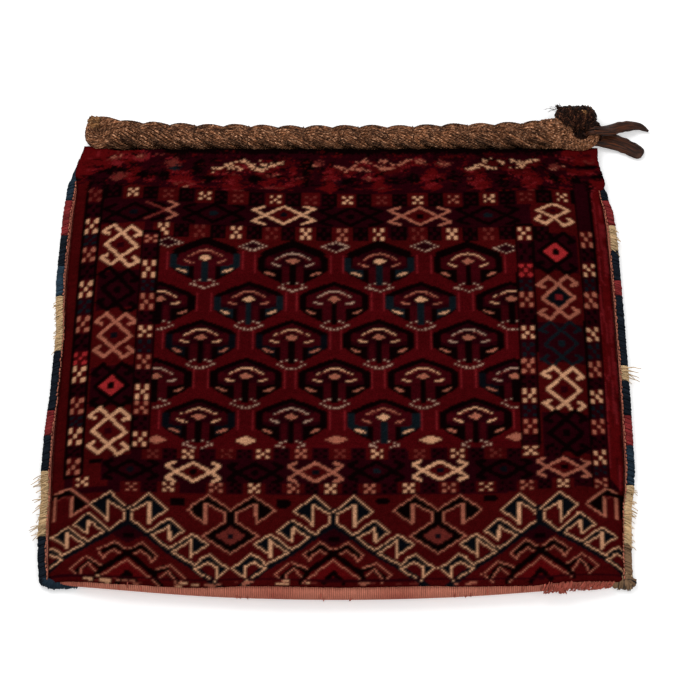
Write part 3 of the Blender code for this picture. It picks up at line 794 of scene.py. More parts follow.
# The wide long borders: x, y, yarn, heart and core
TOP_BORDER = ((-289, 203, BLACK, MAROON, NAVY), (-176, 199, BLACK, MAROON, TEAL),
              (-77.5, 196, IVORY, GROUND, NAVY), (16.5, 193, BLACK, MAROON, BLACK),
              (113.5, 193.5, PINK, GROUND, BLACK), (209, 196, BLACK, MAROON, TEAL))
BOTTOM_BORDER = ((-271, -186, BLACK, MAROON, NAVY), (-188.5, -188, IVORY, GROUND, BLACK),
                 (-108.5, -188, BLACK, MAROON, BLACK), (-29.5, -187, PINK, GROUND, NAVY),
                 (50, -185.5, BLACK, MAROON, TEAL), (133, -185, IVORY, GROUND, NAVY),
                 (216, -184, BLACK, MAROON, NAVY), (295, -183, PINK, GROUND, BLACK))


def draw_long_borders(knots):
    for x, y, yarn, heart, core in TOP_BORDER:
        if yarn == BLACK:
            knots.block(x - 46, x + 46, y - 18, y + 18, MAROON)
        hooked(knots, x, y, WIDE, yarn, heart, core)
    x, y = -243, 205
    for end in (-1, 1):
        knots.line([(x, y), (x - 29, y + 15 * end)], 3.8, DULL)
        knots.line([(x, y), (x + 15, y + 9 * end), (x + 2, y + 16 * end)], 3.8, PINK)
    for x, y, yarn, heart, core in BOTTOM_BORDER:
        if yarn == BLACK:
            knots.block(x - 38, x + 38, y - 15, y + 15, MAROON)
        hooked(knots, x, y, LOW, yarn, heart, core)


# The field

# Hexagons whose sides, and in the teal ones whose stem, are not black: row and place in the row
TEAL_HEXES = ((0, 0), (0, 2), (1, 1), (1, 3), (4, 2))
NAVY_HEXES = ((2, 0), (2, 1), (3, 4), (4, 0))
HEX_ROWS = (
    (120, (-184, -63, 56, 178)),
    (62, (-243, -122, -6, 112, 235)),
    (5, (-185, -63, 54, 175)),
    (-52, (-243, -123, -5, 113, 235)),
    (-110, (-184, -62, 60, 181)),
)
HEX = ((0, 27), (20, 20), (40, 11), (48, 6), (48, -15), (35, -24), (15, -35), (-15, -35), (-35, -24),
       (-48, -15), (-48, 6), (-40, 11), (-20, 20))
HEX_FACE = ((0, 20.5), (20, 12.5), (37.5, 4), (38, -11), (28, -13), (15, -13), (15, -33), (-15, -33),
            (-15, -13), (-28, -13), (-38, -11), (-37.5, 4), (-20, 12.5))


def spotted_line(knots, points, pitch, size, yarn):
    """Separate spots of a lighter yarn along a line."""
    for (ax, ay), (bx, by) in zip(points, points[1:]):
        count = max(1, round(math.hypot(bx - ax, by - ay) / pitch))
        for i in range(count + 1):
            share = i / count
            knots.dot(ax + (bx - ax) * share, ay + (by - ay) * share, size * 1.2, size, yarn)


def hexagon(knots, x, y, outline, face, stem, light, arch, low):
    """A hexagon with a stemmed tree; light yarn goes to its heart or to its arch."""
    def at(points):
        return [(x + u, y + v) for u, v in points]

    knots.area(at(HEX), BLACK)
    for side in (-1, 1):
        edge = ((48, 5), (48, -14), (22, -28), (22, -12), (38, -10), (38, 5))
        knots.area(at([(side * u, v) for u, v in edge]), outline)
    knots.area(at(HEX_FACE), face)
    for side in (-1, 1):
        knots.thread(at([(side * 51, 9), (side * 51, -17)]), ROSE)
        branch = ((16, 1), (33, 7), (37, 4), (37, -6), (24, -9))
        knots.area(at([(side * u, v) for u, v in branch]), WINE)
        knots.block(x + side * 9.5 - 4.5, x + side * 9.5 + 4.5, y - 35, y - 9, WINE)
        knots.thread(at([(side * 27, -4), (side * 17, -7.5)]), arch)
        knots.thread(at([(side * 23, -6.5), (side * 20, -7.5)]), arch)
        knots.thread(at([(side * 37, -17), (side * 26, -21.5)]), low)
        knots.thread(at([(side * 34, -19.5), (side * 29, -21.5)]), low)
        knots.thread(at([(side * 22, 3.5), (side * 9, 10.5), (0, 12)]), arch)
        knots.thread(at([(side * 18, 3.5), (side * 9, 8.5)]), DULL)
        spotted_line(knots, at([(side * 7, -33.5), (side * 13, -36)]), 5.0, 2.3, COTTON)
        spotted_line(knots, at([(side * 18, -39.5), (side * 10, -43), (0, -46)]), 5.0, 2.3, COTTON)
    knots.block(x - 4.3, x + 4.3, y - 38, y - 6, stem)
    knots.lozenge(x, y, 12, 6.5, BLACK)
    knots.lozenge(x, y, 9.5, 4.8, light)


def dotted_diamond(knots, x, y):
    knots.lozenge(x, y, 15, 6.5, MAROON)
    corners = [(x - 18, y), (x, y + 7.5), (x + 18, y), (x, y - 7.5), (x - 18, y)]
    spotted_line(knots, corners, 5.0, 2.3, COTTON)


TOP_DIAMONDS = ((-236, 150), (-118.5, 143.5), (-4, 142.5), (119, 143), (231.5, 140))
LOW_LOZENGES = ((-238.5, -144), (-121, -143), (-2, -142), (121.5, -142), (234, -140))


def draw_field(knots):
    knots.area([(-252, 158), (250, 156), (246, -156), (-252, -159)], FIELD)
    knots.area([(-252, 158), (250, 156), (250, 134), (-252, 134)], GROUND)
    for r, (y, columns) in enumerate(HEX_ROWS):
        for c, x in enumerate(columns):
            if r == 0:
                y = HEX_ROWS[0][0] + (6 if c == 0 else 0)
                cap = ((-46, 10), (-42, 15), (0, 33), (42, 15), (46, 10))
                knots.area([(x + u, y + v) for u, v in cap], BLACK)
            outline = TEAL if (r, c) in TEAL_HEXES else NAVY if (r, c) in NAVY_HEXES else BLACK
            stem = TEAL if (r, c) in TEAL_HEXES else BLACK
            face = MAROON if (r + c) % 3 else WINE
            if outline == TEAL:
                hexagon(knots, x, y, outline, face, stem, IVORY, PINK, IVORY)
            else:
                arch = COTTON if (r * 3 + c) % 4 == 1 else IVORY
                hexagon(knots, x, y, outline, face, stem, PINK, arch, PINK)
    for x, y in TOP_DIAMONDS:
        dotted_diamond(knots, x, y)
    for i, (x, y) in enumerate(LOW_LOZENGES):
        knots.lozenge(x, y, 15, 6, IVORY if i % 2 else PINK)


# The worn zone at the mouth

# What is left of its light zigzags: yarn, the main stroke and lesser strokes
HEADS = (
    (IVORY, ((-183, 278), (-165, 286), (-146, 296), (-120, 279), (-112, 277), (-95, 287), (-80, 293)),
     ((-166, 285), (-141, 279)), ((-121, 293), (-108, 284))),
    (PINK, ((-2, 283), (12, 275), (30, 290), (40, 294), (62, 281), (75, 280), (104, 296)),
     ((26, 279), (45, 276)), ((62, 295), (80, 287))),
    (IVORY, ((187, 277), (203, 284), (215, 293), (234, 296), (253, 281), (262, 282), (280, 291), (295, 297)),
     ((212, 285), (228, 279)), ((255, 296), (268, 288))),
)
# Patches of the leaning pile near the mouth: middle, half width, half height and yarn
MOUTH_PATCHES = (
    (-340, 303, 12, 2, DULL), (-296, 302, 15, 8, ROSE), (-296, 302, 8, 4, DULL), (-265, 305, 13, 2, DULL),
    (-330, 292, 10, 4, ROSE), (-332, 281, 18, 6, BLACK),
    (-298, 270, 13, 12, BRIGHT), (-318, 268, 9, 8, DULL), (-278, 271, 14, 9, BLACK),
    (-272, 262, 7, 5, BRIGHT), (-246, 291, 9, 9, DULL), (-228, 262, 17, 13, BRIGHT),
    (-216, 254, 14, 6, BRIGHT), (-252, 268, 9, 8, BLACK),
    (-206, 283, 9, 14, BLACK), (-188, 262, 9, 9, BLACK), (-240, 281, 8, 4, TEAL),
    (-154, 262, 10, 14, BRIGHT), (-152, 247, 16, 8, BRIGHT), (-120, 262, 10, 8, BLACK),
    (-85, 253, 27, 10, BRIGHT), (-68, 272, 7, 10, BRIGHT), (-82, 256, 8, 5, MAROON), (-100, 270, 14, 4, DULL),
    (-48, 282, 10, 17, BLACK), (-30, 288, 5, 9, DULL), (-47, 256, 8, 7, BLACK),
    (-12, 260, 10, 22, BRIGHT), (-14, 243, 15, 6, BRIGHT), (-3, 255, 4, 4, NAVY), (14, 259, 9, 9, BLACK),
    (57, 258, 8, 17, BRIGHT), (62, 244, 17, 6, BRIGHT), (42, 263, 5, 7, DULL), (78, 258, 12, 5, BLACK),
    (92, 282, 8, 6, BRIGHT), (106, 262, 9, 9, BLACK),
    (134, 262, 15, 15, BRIGHT), (132, 246, 13, 6, BRIGHT), (140, 258, 5, 4, BLACK), (150, 288, 12, 5, DULL),
    (166, 262, 9, 13, BLACK), (120, 293, 8, 5, DULL), (180, 292, 12, 4, MAROON),
    (203, 257, 14, 14, BRIGHT), (204, 246, 11, 6, BRIGHT), (193, 259, 3, 4, BLACK), (215, 260, 4, 4, BLACK),
    (236, 258, 10, 11, BLACK), (252, 260, 6, 6, MAROON), (276, 258, 12, 20, BRIGHT), (300, 262, 6, 6, BRIGHT),
    (318, 286, 12, 5, DULL), (322, 262, 7, 7, BRIGHT), (310, 264, 8, 7, BLACK), (345, 256, 11, 6, BRIGHT),
    (348, 280, 18, 5, BRIGHT), (366, 268, 7, 10, BRIGHT), (370, 252, 6, 9, BRIGHT), (340, 268, 9, 5, BLACK),
    (300, 286, 9, 6, BLACK), (362, 290, 12, 4, BLACK),
)


# Where the leaning rows part, other yarns show: short streaks, and the yarns that show in each
MOUTH_STREAKS = 900
STREAKS = {
    BRIGHT: (ROSE, ROSE, DULL, GROUND, MAROON, BLACK),
    GROUND: (BRIGHT, ROSE, MAROON, BLACK),
    MAROON: (GROUND, WINE, BRIGHT, BLACK, BLACK, MAROON),
    BLACK: (MAROON, GROUND, BLACK, BLACK),
    DULL: (ROSE, BRIGHT, PINK, DULL),
}


def draw_mouth_zone(knots):
    """The worn pile just below the rope, where the pattern is cut off and the knots lean."""
    knots.area([(-376, 314), (376, 314), (376, 236), (-376, 246)], MAROON)
    knots.area([(-376, 314), (-292, 314), (-316, 289), (-350, 284), (-376, 262)], BRIGHT)
    knots.area([(332, 314), (376, 314), (376, 284), (346, 292)], BRIGHT)
    for x, y, wide, high, yarn in MOUTH_PATCHES:
        knots.lozenge(x, y, wide * 1.3, high * 1.3, yarn)
        reach, rise = wide * 0.7, high * 0.7
        knots.block(x - reach, x + reach, y - rise, y + rise, yarn)
    for yarn, *strokes in HEADS:
        knots.line([(x, y - 5) for x, y in strokes[0]], 13, GROUND)
        for stroke in strokes:
            knots.line(stroke, 3.6, yarn)
    # Painted shadow: a black band along the pile's top edge, under the rope.
    knots.block(-262, 330, 304, 314, BLACK)
    knots.block(361, 376, 268, 279, BLACK)
    for _ in range(MOUTH_STREAKS):
        x, y = rng.uniform(-370, 370), rng.uniform(240, 309)
        length, rise = rng.uniform(3, 16), rng.normal(0, 1.5)
        under = int(knots.yarn[np.searchsorted(knots.y, y), np.searchsorted(knots.x, x)])
        pick = rng.random()
        if under in STREAKS:
            streak = STREAKS[under][int(pick * len(STREAKS[under]))]
            knots.thread([(x - length / 2, y - rise / 2), (x + length / 2, y + rise / 2)], streak)


# The skirt below the borders

def lift(x):
    """The skirt's motifs stand a little higher towards the sides."""
    return 6.0 * smooth((abs(x) - 290) / 30) + 3.0 * smooth((abs(x) - 335) / 40)


def mirrored(centre, side, points):
    places = []
    for u, v in points:
        x = centre + side * u
        places.append((x, v + lift(x)))
    return places


LADDER_HEADS = (
    ((0.5, -238), (25.6, -217), (50.5, -237.5), (30, -252.5), (27.3, -256)),
    ((55, -249.5), (73, -264.5), (68, -267), (56, -275.5)),
    ((86, -270), (102.8, -280.6), (84, -293.5)),
    ((106, -294), (131.2, -311.5), (116, -322.5)),
)
LADDER_BARS = (((26.9, -230), (27.3, -255.5)), ((52.3, -260), (54.5, -275)), ((82, -276), (81.5, -296)))
LADDER_ARMS = (
    ((26.7, -229.5), (5.3, -241), (5, -252), (25.6, -267.2), (50.5, -250), (55, -249.5)),
    ((52.3, -260), (31.3, -271), (53.5, -287.3), (81.2, -268.3), (86, -270)),
    ((82, -276), (58, -291), (87, -306.7), (97, -297), (106, -294)),
    ((112.5, -328), (87.3, -312.2), (103.5, -303.5), (115, -310), (115.5, -323.5)),
)
LADDER_FIELDS = (
    ((0, -238), (25.6, -217), (50.5, -237.5), (28, -253), (28, -230), (5, -241), (5, -256), (0, -262)),
    ((25.6, -267), (50.5, -249.5), (57, -249.5), (73, -264.5), (55, -275), (52.3, -260), (31.3, -271)),
    ((53.5, -287), (81, -268.5), (90, -270), (103, -280.6), (82, -295), (82, -276), (58, -291)),
    ((87, -306.7), (100, -295), (108, -294.5), (131, -311.5), (115, -323), (115, -310), (103.5, -303.5),
     (87.3, -312)),
)
LADDER_STEM = ((0, -238), (0, -257), (25.6, -270), (53.5, -290), (87, -310), (122, -338))


def ladder_tree(knots, centre):
    """A tree of hooks that steps down on both sides, in navy with a light outline."""
    for side in (-1, 1):
        for field in LADDER_FIELDS:
            knots.area(mirrored(centre, side, field), NAVY)
        knots.line(mirrored(centre, side, LADDER_STEM), 9, NAVY)
        for arm in LADDER_ARMS + LADDER_HEADS:
            knots.thread(mirrored(centre, side, arm), IVORY)
        for bar in LADDER_BARS:
            knots.line(mirrored(centre, side, bar), 3.9, IVORY)
    knots.lozenge(centre, -271, 22, 12, MAROON)
    knots.dot(centre, -273, 14, 7, BLACK)


SUB_UPPER = ((0, -291), (17, -281.5), (32, -292.5))
SUB_UPPER_OUTLINE = ((3, -285.5), (18, -276.5), (38.5, -292.5), (31.5, -301), (27, -293.5), (17, -287.5),
                     (4, -294), (20, -305))
SUB_LOWER = ((0, -291), (33, -315), (43, -330))
SUB_HOOK = ((33, -315), (48, -307.5), (66, -323))
SUB_HOOK_OUTLINE = ((32, -312), (55, -303.5), (75.5, -320), (63, -329))


def small_tree(knots, centre, drop):
    """The black tree under each ladder tree."""
    def at(side, points):
        return mirrored(centre, side, [(u, v - drop) for u, v in points])

    knots.area(at(1, [(0, -298), (39, -325), (-39, -325)]), BRIGHT)
    for side in (-1, 1):
        knots.line(at(side, SUB_HOOK), 6.5, BLACK)
        knots.line(at(side, SUB_UPPER), 6, BLACK)
        knots.thread(at(side, SUB_UPPER_OUTLINE), PINK)
        knots.thread(at(side, SUB_HOOK_OUTLINE), PINK)
        knots.thread(at(side, [(41, -322), (52, -311), (60, -319), (62, -325)]), PINK)
        knots.line(at(side, SUB_LOWER), 7, BLACK)
        knots.thread(at(side, [(0, -300), (40, -329)]), PINK)
        knots.line(at(side, [(0, -315), (13, -329)]), 6.5, BLACK)
    knots.dot(centre, -325 - drop, 9, 6, MAROON)


def diamond_tree(knots, centre):
    """A pair of hooks over a diamond in a black ring."""
    for side in (-1, 1):
        head = ((0, -239), (29, -219), (57, -237), (35, -252.5), (33.5, -231), (7, -242), (7, -254),
                (36, -270), (0, -294), (0, -286), (25, -269), (0, -257))
        knots.area(mirrored(centre, side, head), BLACK)
        knots.thread(mirrored(centre, side, ((0, -237), (29, -218), (57, -237), (36, -252.5))), PINK)
        knots.line(mirrored(centre, side, ((33, -230), (33.5, -254))), 4.2, PINK)
        arm = ((32, -229.5), (8, -240.5), (7.5, -252), (36, -270), (0, -292.5))
        knots.thread(mirrored(centre, side, arm), PINK)
    knots.block(centre - 4.5, centre + 4.5, -257, -239, BLACK)
    knots.lozenge(centre, -270, 27, 17, BLACK)
    knots.lozenge(centre, -270, 20, 12, DULL)
    knots.dot(centre, -270.5, 7, 6, NAVY)


def edge_tree(knots, side):
    """Half of a hooked tree, cut by the side of the bag."""
    def at(points):
        return [(side * u, v) for u, v in points]

    far = 366 if side > 0 else 372
    knots.area(at([(376, -210), (352, -209), (326, -231), (347, -244), (347, -219), (352, -216),
                   (376, -219)]), BLACK)
    if side > 0:
        knots.block(370, 376, -246, -218, BLACK)
    knots.line(at([(far, -209), (351, -207.5), (323, -232), (349, -246)]), 2.6, PINK)
    knots.thread(at([(far, -219), (358, -218), (351, -220)]), DULL)
    knots.line(at([(348.5, -221), (348.5, -246)]), 3.6, PINK)
    knots.line(at([(far, -217), (far, -247)]), 3.0, PINK)


def draw_skirt(knots):
    knots.area([(-376, -216), (-200, -218), (200, -217), (376, -205), (376, -345), (-376, -345)], GROUND)
    for side in (-1, 1):
        edge_tree(knots, side)
    for centre in (-139, 129.5):
        diamond_tree(knots, centre)
    for centre, drop in ((-272, 4), (-5.5, 0), (262, 0)):
        ladder_tree(knots, centre)
        small_tree(knots, centre, drop)
    for x, y, width, height in ((-208, -228, 20, 10), (-71, -228, 18, 12), (58, -224.5, 17, 8),
                                (198, -223, 18, 9)):
        knots.dot(x, y, width, height, BLACK)


BOTTOM_SPOTS = ((-318, IVORY), (-300, IVORY), (-285, PINK), (-262, PINK), (-190, IVORY), (-160, PINK),
                (-120, PINK), (-68, IVORY), (-35, IVORY), (30, PINK), (96, PINK), (170, PINK))


def draw_bottom_edge(knots):
    """A dark last row, with broken spots of the next motif."""
    knots.line([(-376, -326.5), (-180, -326), (60, -326.5), (376, -325)], 2.6, MAROON)
    for x, yarn in BOTTOM_SPOTS:
        for _ in range(4):
            spot_x, spot_y = x + rng.normal(0, 7), -331 + rng.normal(0, 1.2)
            knots.dot(spot_x, spot_y, rng.uniform(4, 9), 2.4, yarn if rng.random() < 0.7 else DULL)


# Lighter lines of pile down the right side, painted sheen along that edge
SHEEN_LINES = 60


def draw_face():
    knots = Knots()
    knots.block(-376, 376, 150, 250, MAROON)
    knots.block(-376, 376, -216, -156, MAROON)
    knots.block(-348, -300, -208, -160, GROUND)
    knots.block(-328, -308, -176, -169, BLACK)
    draw_field(knots)
    draw_mouth_zone(knots)
    draw_long_borders(knots)
    draw_borders(knots)
    flower_row(knots, ROW_A, 222, 16, 9, 24, (16.5, 15.5), BLACK, MAROON)
    flower_row(knots, ROW_B, 162.5, 12, 4, 22, (16.5, 21), BLACK, MAROON)
    flower_row(knots, ROW_C, -161.5, -3, -1, 15, (17, 13), MAROON, BLACK)
    flower_row(knots, ROW_D, -208.5, -1, 3, 14, (17, 12.5), MAROON, BLACK)
    flower(knots, -335, -200, IVORY, 17, 13)
    knots.area([(-376, 264), (-362, 264), (-360, -205), (-376, -212)], GROUND)
    # Painted sheen: a brighter strip of pile down the right edge, with lighter lines in it below.
    knots.area([(376, 267), (360, 267), (357, -190), (376, -205)], BRIGHT)
    for _ in range(SHEEN_LINES):
        x, y, length = rng.uniform(358, 375), rng.uniform(-200, 262), rng.uniform(8, 45)
        knots.thread([(x, y), (x + 0.3, y - length)], ROSE if rng.random() < 0.7 else GROUND)
    for band in BANDS:
        upright_band(knots, *band)
    draw_skirt(knots)
    draw_bottom_edge(knots)
    knots.blur(248, 314, 0.8, 0.6)
    knots.blur(-400, 400, 0.12, 0.10)
    return knots


# Wool, hair and leather

YARNS = {
    "navy": rgb(25, 31, 39),
    "dark_blue": rgb(36, 50, 62),
    "blue": rgb(46, 64, 78),
    "red": rgb(130, 44, 45),
    "ivory": rgb(206, 174, 132),
    "grey_brown": rgb(126, 98, 74),
}
SLOTS = {
    "navy": "navy_yarn", "dark_blue": "dark_blue_yarn", "blue": "blue_yarn", "red": "red_yarn",
    "ivory": "ivory_yarn", "grey_brown": "grey_brown_yarn",
}


def pile_wool():
    """Cut pile: each knot keeps its own yarn, with fibres, and streaks along the rows."""
    graph = Graph("pile_wool", 0.95, specular=0.0)
    yarn = graph.attribute("yarn_colour", "Color")
    patches = graph.noise((6, 22, 6), 3.0)
    fibres = graph.noise((900, 620, 900), 2.0)
    tufts = graph.noise((260, 300, 260), 1.0)
    factor = graph.span(patches, 0.3, 0.7, 0.86, 1.16) * graph.span(fibres, 0.25, 0.75, 0.62, 1.38)
    colour = graph.shade(yarn, factor)
    return graph.finish(colour, fibres * 0.6 + tufts * 0.6, 0.0011, 0.8)


def plain_weave():
    """Warp-faced weave: fine threads over each rib, faded along the fold, with painted shade between the ribs
    and a painted shadow on the hem under the rope.
    """
    graph = Graph("plain_weave", 0.9, specular=0.06)
    threads = graph.noise((1500, 90, 90), 2.0)
    picks = graph.noise((300, 900, 900), 1.0)
    fading = graph.noise((9, 9, 9), 2.0)
    share = graph.span(fading, 0.35, 0.65)
    colour = graph.mix(share, rgb(172, 92, 76), rgb(202, 126, 104))
    # Painted shade: the grooves between the ribs are darkened.
    across = graph.axis(0)
    rib = (across + WEAVE_REACH) * (math.pi / WEAVE_RIB)
    rib = rib.maths("ABSOLUTE", rib.maths("SINE", rib, 0.0), 0.0)
    colour = graph.shade(colour, graph.span(rib, 0.0, 0.8, 0.55, 1.06))
    # Painted shadow: the weave turns dark near the mouth, on the hem under the rope.
    along = graph.axis(1)
    colour = graph.mix(graph.span(along, MOUTH_Y - 0.03, MOUTH_Y - 0.01), colour, rgb(34, 10, 8))
    colour = graph.shade(colour, graph.span(threads, 0.3, 0.7, 0.72, 1.2))
    return graph.finish(colour, threads * 0.7 + picks * 0.5, 0.0007, 0.9)


def inner_weave():
    """The inside of the pocket."""
    graph = Graph("inner_weave", 0.95, specular=0.03)
    threads = graph.noise((700, 60, 60), 2.0)
    colour = graph.mix(graph.span(threads, 0.3, 0.7), rgb(50, 16, 14), rgb(84, 34, 28))
    return graph.finish(colour, threads, 0.0006, 0.7)


def spun_wool(name, colour, light=1.35):
    """Loosely spun yarn, a little different from turn to turn."""
    graph = Graph(name, 0.9, specular=0.05)
    fibres = graph.noise((160, 2400, 2400), 3.0, "fibre")
    worn = graph.noise((70, 70, 70), 3.0)
    turn = graph.attribute("shade")
    factor = graph.span(fibres, 0.25, 0.75, 0.55, light) * graph.span(turn, 0.0, 1.0, 0.75, 1.25)
    factor = factor * graph.span(worn, 0.3, 0.7, 0.8, 1.2)
    return graph.finish(graph.shade(colour, factor), fibres, 0.0006, 0.9)


def goat_hair(name, dark, middle, pale):
    """Coarse spun hair: dark and pale fibres that run along the strand."""
    graph = Graph(name, 0.7, specular=0.10)
    fibres = graph.noise((220, 1300, 1300), 3.0, "fibre")
    clumps = graph.noise((110, 380, 380), 2.0, "fibre")
    marks = graph.noise((260, 420, 420), 1.0, "fibre")
    patches = graph.noise((60, 60, 60), 3.0)
    # The shade mark carries each yarn's own tone and the painted shade in ply grooves and between plaited
    # strands.
    turn = graph.attribute("shade")
    colour = graph.mix(graph.span(clumps, 0.38, 0.60), dark, middle)
    colour = graph.mix(graph.span(fibres * 0.6 + marks * 0.4, 0.52, 0.68), colour, pale)
    factor = graph.span(patches, 0.3, 0.7, 0.84, 1.18) * graph.span(turn, 0.0, 1.0, 0.36, 1.5)
    factor = factor * graph.span(marks, 0.3, 0.7, 0.55, 1.45)
    return graph.finish(graph.shade(colour, factor), fibres + clumps * 0.8, 0.0016, 1.0)


def old_leather():
    """A worn thong: dark, streaked along its length, tan near the rope and greyed towards its ends."""
    graph = Graph("old_leather", 0.55, specular=0.22)
    streaks = graph.noise((35, 520, 520), 3.0, "fibre")
    grain = graph.noise((900, 900, 900), 2.0)
    worn = graph.noise((90, 90, 90), 2.0)
    across = graph.axis(0)
    streak = graph.mix(graph.span(across, 0.405, 0.440), rgb(94, 46, 18), rgb(66, 38, 28))
    colour = graph.mix(graph.span(streaks, 0.42, 0.66), rgb(34, 15, 7), streak)
    colour = graph.mix(graph.span(worn, 0.54, 0.74), colour, rgb(74, 46, 33))
    return graph.finish(colour, streaks * 0.8 + grain * 0.3, 0.0010, 0.9)


def make_materials():
    materials = {name: spun_wool(name + "_yarn", colour) for name, colour in YARNS.items()}
    materials["pile"] = pile_wool()
    materials["weave"] = plain_weave()
    materials["inside"] = inner_weave()
    materials["stitching"] = spun_wool("edge_stitching", rgb(172, 104, 84))
    materials["warp_ends"] = spun_wool("warp_ends", rgb(164, 84, 70), 1.6)
    materials["hair"] = goat_hair("goat_hair", rgb(50, 25, 12), rgb(122, 77, 50), rgb(196, 146, 112))
    materials["frayed"] = goat_hair("frayed_hair", rgb(104, 64, 36), rgb(160, 112, 70), rgb(206, 166, 122))
    materials["dark_hair"] = goat_hair("dark_hair", rgb(14, 4, 2), rgb(40, 17, 9), rgb(108, 66, 44))
    materials["leather"] = old_leather()
    return materials


# The cloth

PILE_UNEVENNESS = 0.00022


def build_pile(knots, materials):
    """The face as a grid of knots, each with its own yarn, and the cut pile's edges."""
    rows, columns = KNOT_ROWS, KNOTS_ACROSS
    points = []
    for i in range(rows + 1):
        yd = (PILE_BOTTOM_MM + (PILE_TOP - PILE_BOTTOM_MM) * i / rows) / 1000
        for j in range(columns + 1):
            xd = (2 * j / columns - 1) * PILE_HALF
            points.append(face_point(xd, yd))
    points = np.array(points)
    points[:, 2] += rng.normal(0, PILE_UNEVENNESS, len(points))
    faces = grid_faces(rows, columns, 0)
    border = grid_border(rows, columns)
    foot = len(points)
    middle = points.mean(axis=0)
    low = points[border].copy()
    outward = low[:, :2] - middle[:2]
    outward /= np.linalg.norm(outward, axis=1)[:, None]
    points[border, :2] += outward * rng.uniform(-0.0006, 0.0008, len(border))[:, None]
    low[:, 2] -= PILE_HEIGHT
    low[:, :2] -= outward * 0.0008
    points = np.concatenate([points, low])
    for n, k in enumerate(border):
        after = (n + 1) % len(border)
        faces.append((k, foot + n, foot + after, border[after]))
    piece = new_piece("pile_face", points, faces, materials["pile"])
    paint_knots(piece, knots, border)


# The share of its neighbours' colour in each knot's corners, and the painted shade on the pile's cut edge
KNOT_BLEND = 0.6
PILE_EDGE_SHADE = 0.6


def paint_knots(piece, knots, border):
    """Give every knot its yarn's colour, varied a little from knot to knot and from row to row."""
    yarn = knots.yarn
    colours = np.array(YARN_COLOURS)[yarn]
    depth = rng.uniform(0.80, 1.20, yarn.shape) * rng.uniform(0.93, 1.07, (yarn.shape[0], 1))
    colours = colours * depth[:, :, None]
    flat = colours.reshape(-1, 3)
    padded = np.pad(colours, ((1, 1), (1, 1), (0, 0)), mode="edge")
    shared = (padded[:-1, :-1] + padded[1:, :-1] + padded[:-1, 1:] + padded[1:, 1:]) / 4
    corners = np.stack([shared[:-1, :-1], shared[:-1, 1:], shared[1:, 1:], shared[1:, :-1]], 2)
    corners = corners.reshape(-1, 4, 3)
    count = len(piece.data.polygons)
    values = np.ones((count, 4, 4))
    values[:len(flat), :, :3] = flat[:, None, :] * (1 - KNOT_BLEND) + corners * KNOT_BLEND
    row, column = np.divmod(border, KNOTS_ACROSS + 1)
    cell = np.minimum(row, KNOT_ROWS - 1) * KNOTS_ACROSS + np.minimum(column, KNOTS_ACROSS - 1)
    # Painted shade: the walls of the pile's cut edge take their knot's colour, darkened.
    values[len(flat):, :, :3] = flat[cell][:, None, :] * PILE_EDGE_SHADE
    layer = piece.data.attributes.new("yarn_colour", "FLOAT_COLOR", "CORNER")
    layer.data.foreach_set("color", values.ravel())


FOUNDATION_SINK = 0.0032
FOUNDATION_THICKNESS = 0.0016
FOUNDATION_TUCK = 0.033
FOUNDATION_STEPS = (56, 64)


def build_foundation(materials):
    """The woven ground under the pile, seen from inside the pocket and along the side seams."""
    across, along = FOUNDATION_STEPS
    reach = 1 + (PILE_INSET - 0.002) / PILE_HALF
    upper, lower = [], []
    for i in range(along + 1):
        yd = PILE_BOTTOM + (MOUTH_Y - 0.001 - PILE_BOTTOM) * i / along
        for j in range(across + 1):
            share = math.sin(math.pi / 2 * (2 * j / across - 1))
            narrowed = reach - FOUNDATION_TUCK * cover(1 if share > 0 else -1, yd)
            x, y, z = face_point(share * PILE_HALF * narrowed, yd, FOUNDATION_SINK)
            upper.append((x, y, z))
            lower.append((x, y, z - FOUNDATION_THICKNESS))
    faces = grid_faces(along, across, 0)
    under = len(upper)
    faces += [tuple(reversed(face)) for face in grid_faces(along, across, under)]
    faces += rim_faces(along, across, under)
    piece = new_piece("face_foundation", upper + lower, faces, materials["inside"])


RIB_STEPS = 4
RIB_DEPTH = 0.0008
WEAVE_ARC_STEPS = 18
WEAVE_FLAT_STEPS = 22
WEAVE_TUCK = 0.0026
HEM_NARROWING = 0.055


def weave_line(x, rib):
    """The plain weave's outer and inner line at one place: round the fold, along the back, to the hem."""
    radius, centre, top_y = fold_arc(x)
    outer, inner = [], []
    for i in range(WEAVE_ARC_STEPS + 1):
        share = i / WEAVE_ARC_STEPS
        angle = 0.10 + (math.pi - 0.10) * share
        tuck = WEAVE_TUCK * (1 - smooth((angle - 0.2) / 1.1)) + rib
        for line, depth in ((outer, tuck), (inner, tuck + BACK_THICKNESS)):
            reach = radius - depth
            y = top_y - reach * math.sin(angle)
            line.append((strayed(x, y), y, centre + reach * math.cos(angle)))
    length = MOUTH_Y + HEM_REACH - top_y
    for i in range(1, WEAVE_FLAT_STEPS + 1):
        y = top_y + length * i / WEAVE_FLAT_STEPS
        low = under_height(x, min(y, MOUTH_Y)) + rib
        near_x = strayed(x, y) * half_width(min(y, MOUTH_Y)) / (BAG_WIDTH / 2)
        near_x *= 1 - HEM_NARROWING * smooth((y - MOUTH_Y + 0.004) / 0.016)
        outer.append((near_x, y, low))
        inner.append((near_x, y, low + BACK_THICKNESS))
    return outer, inner


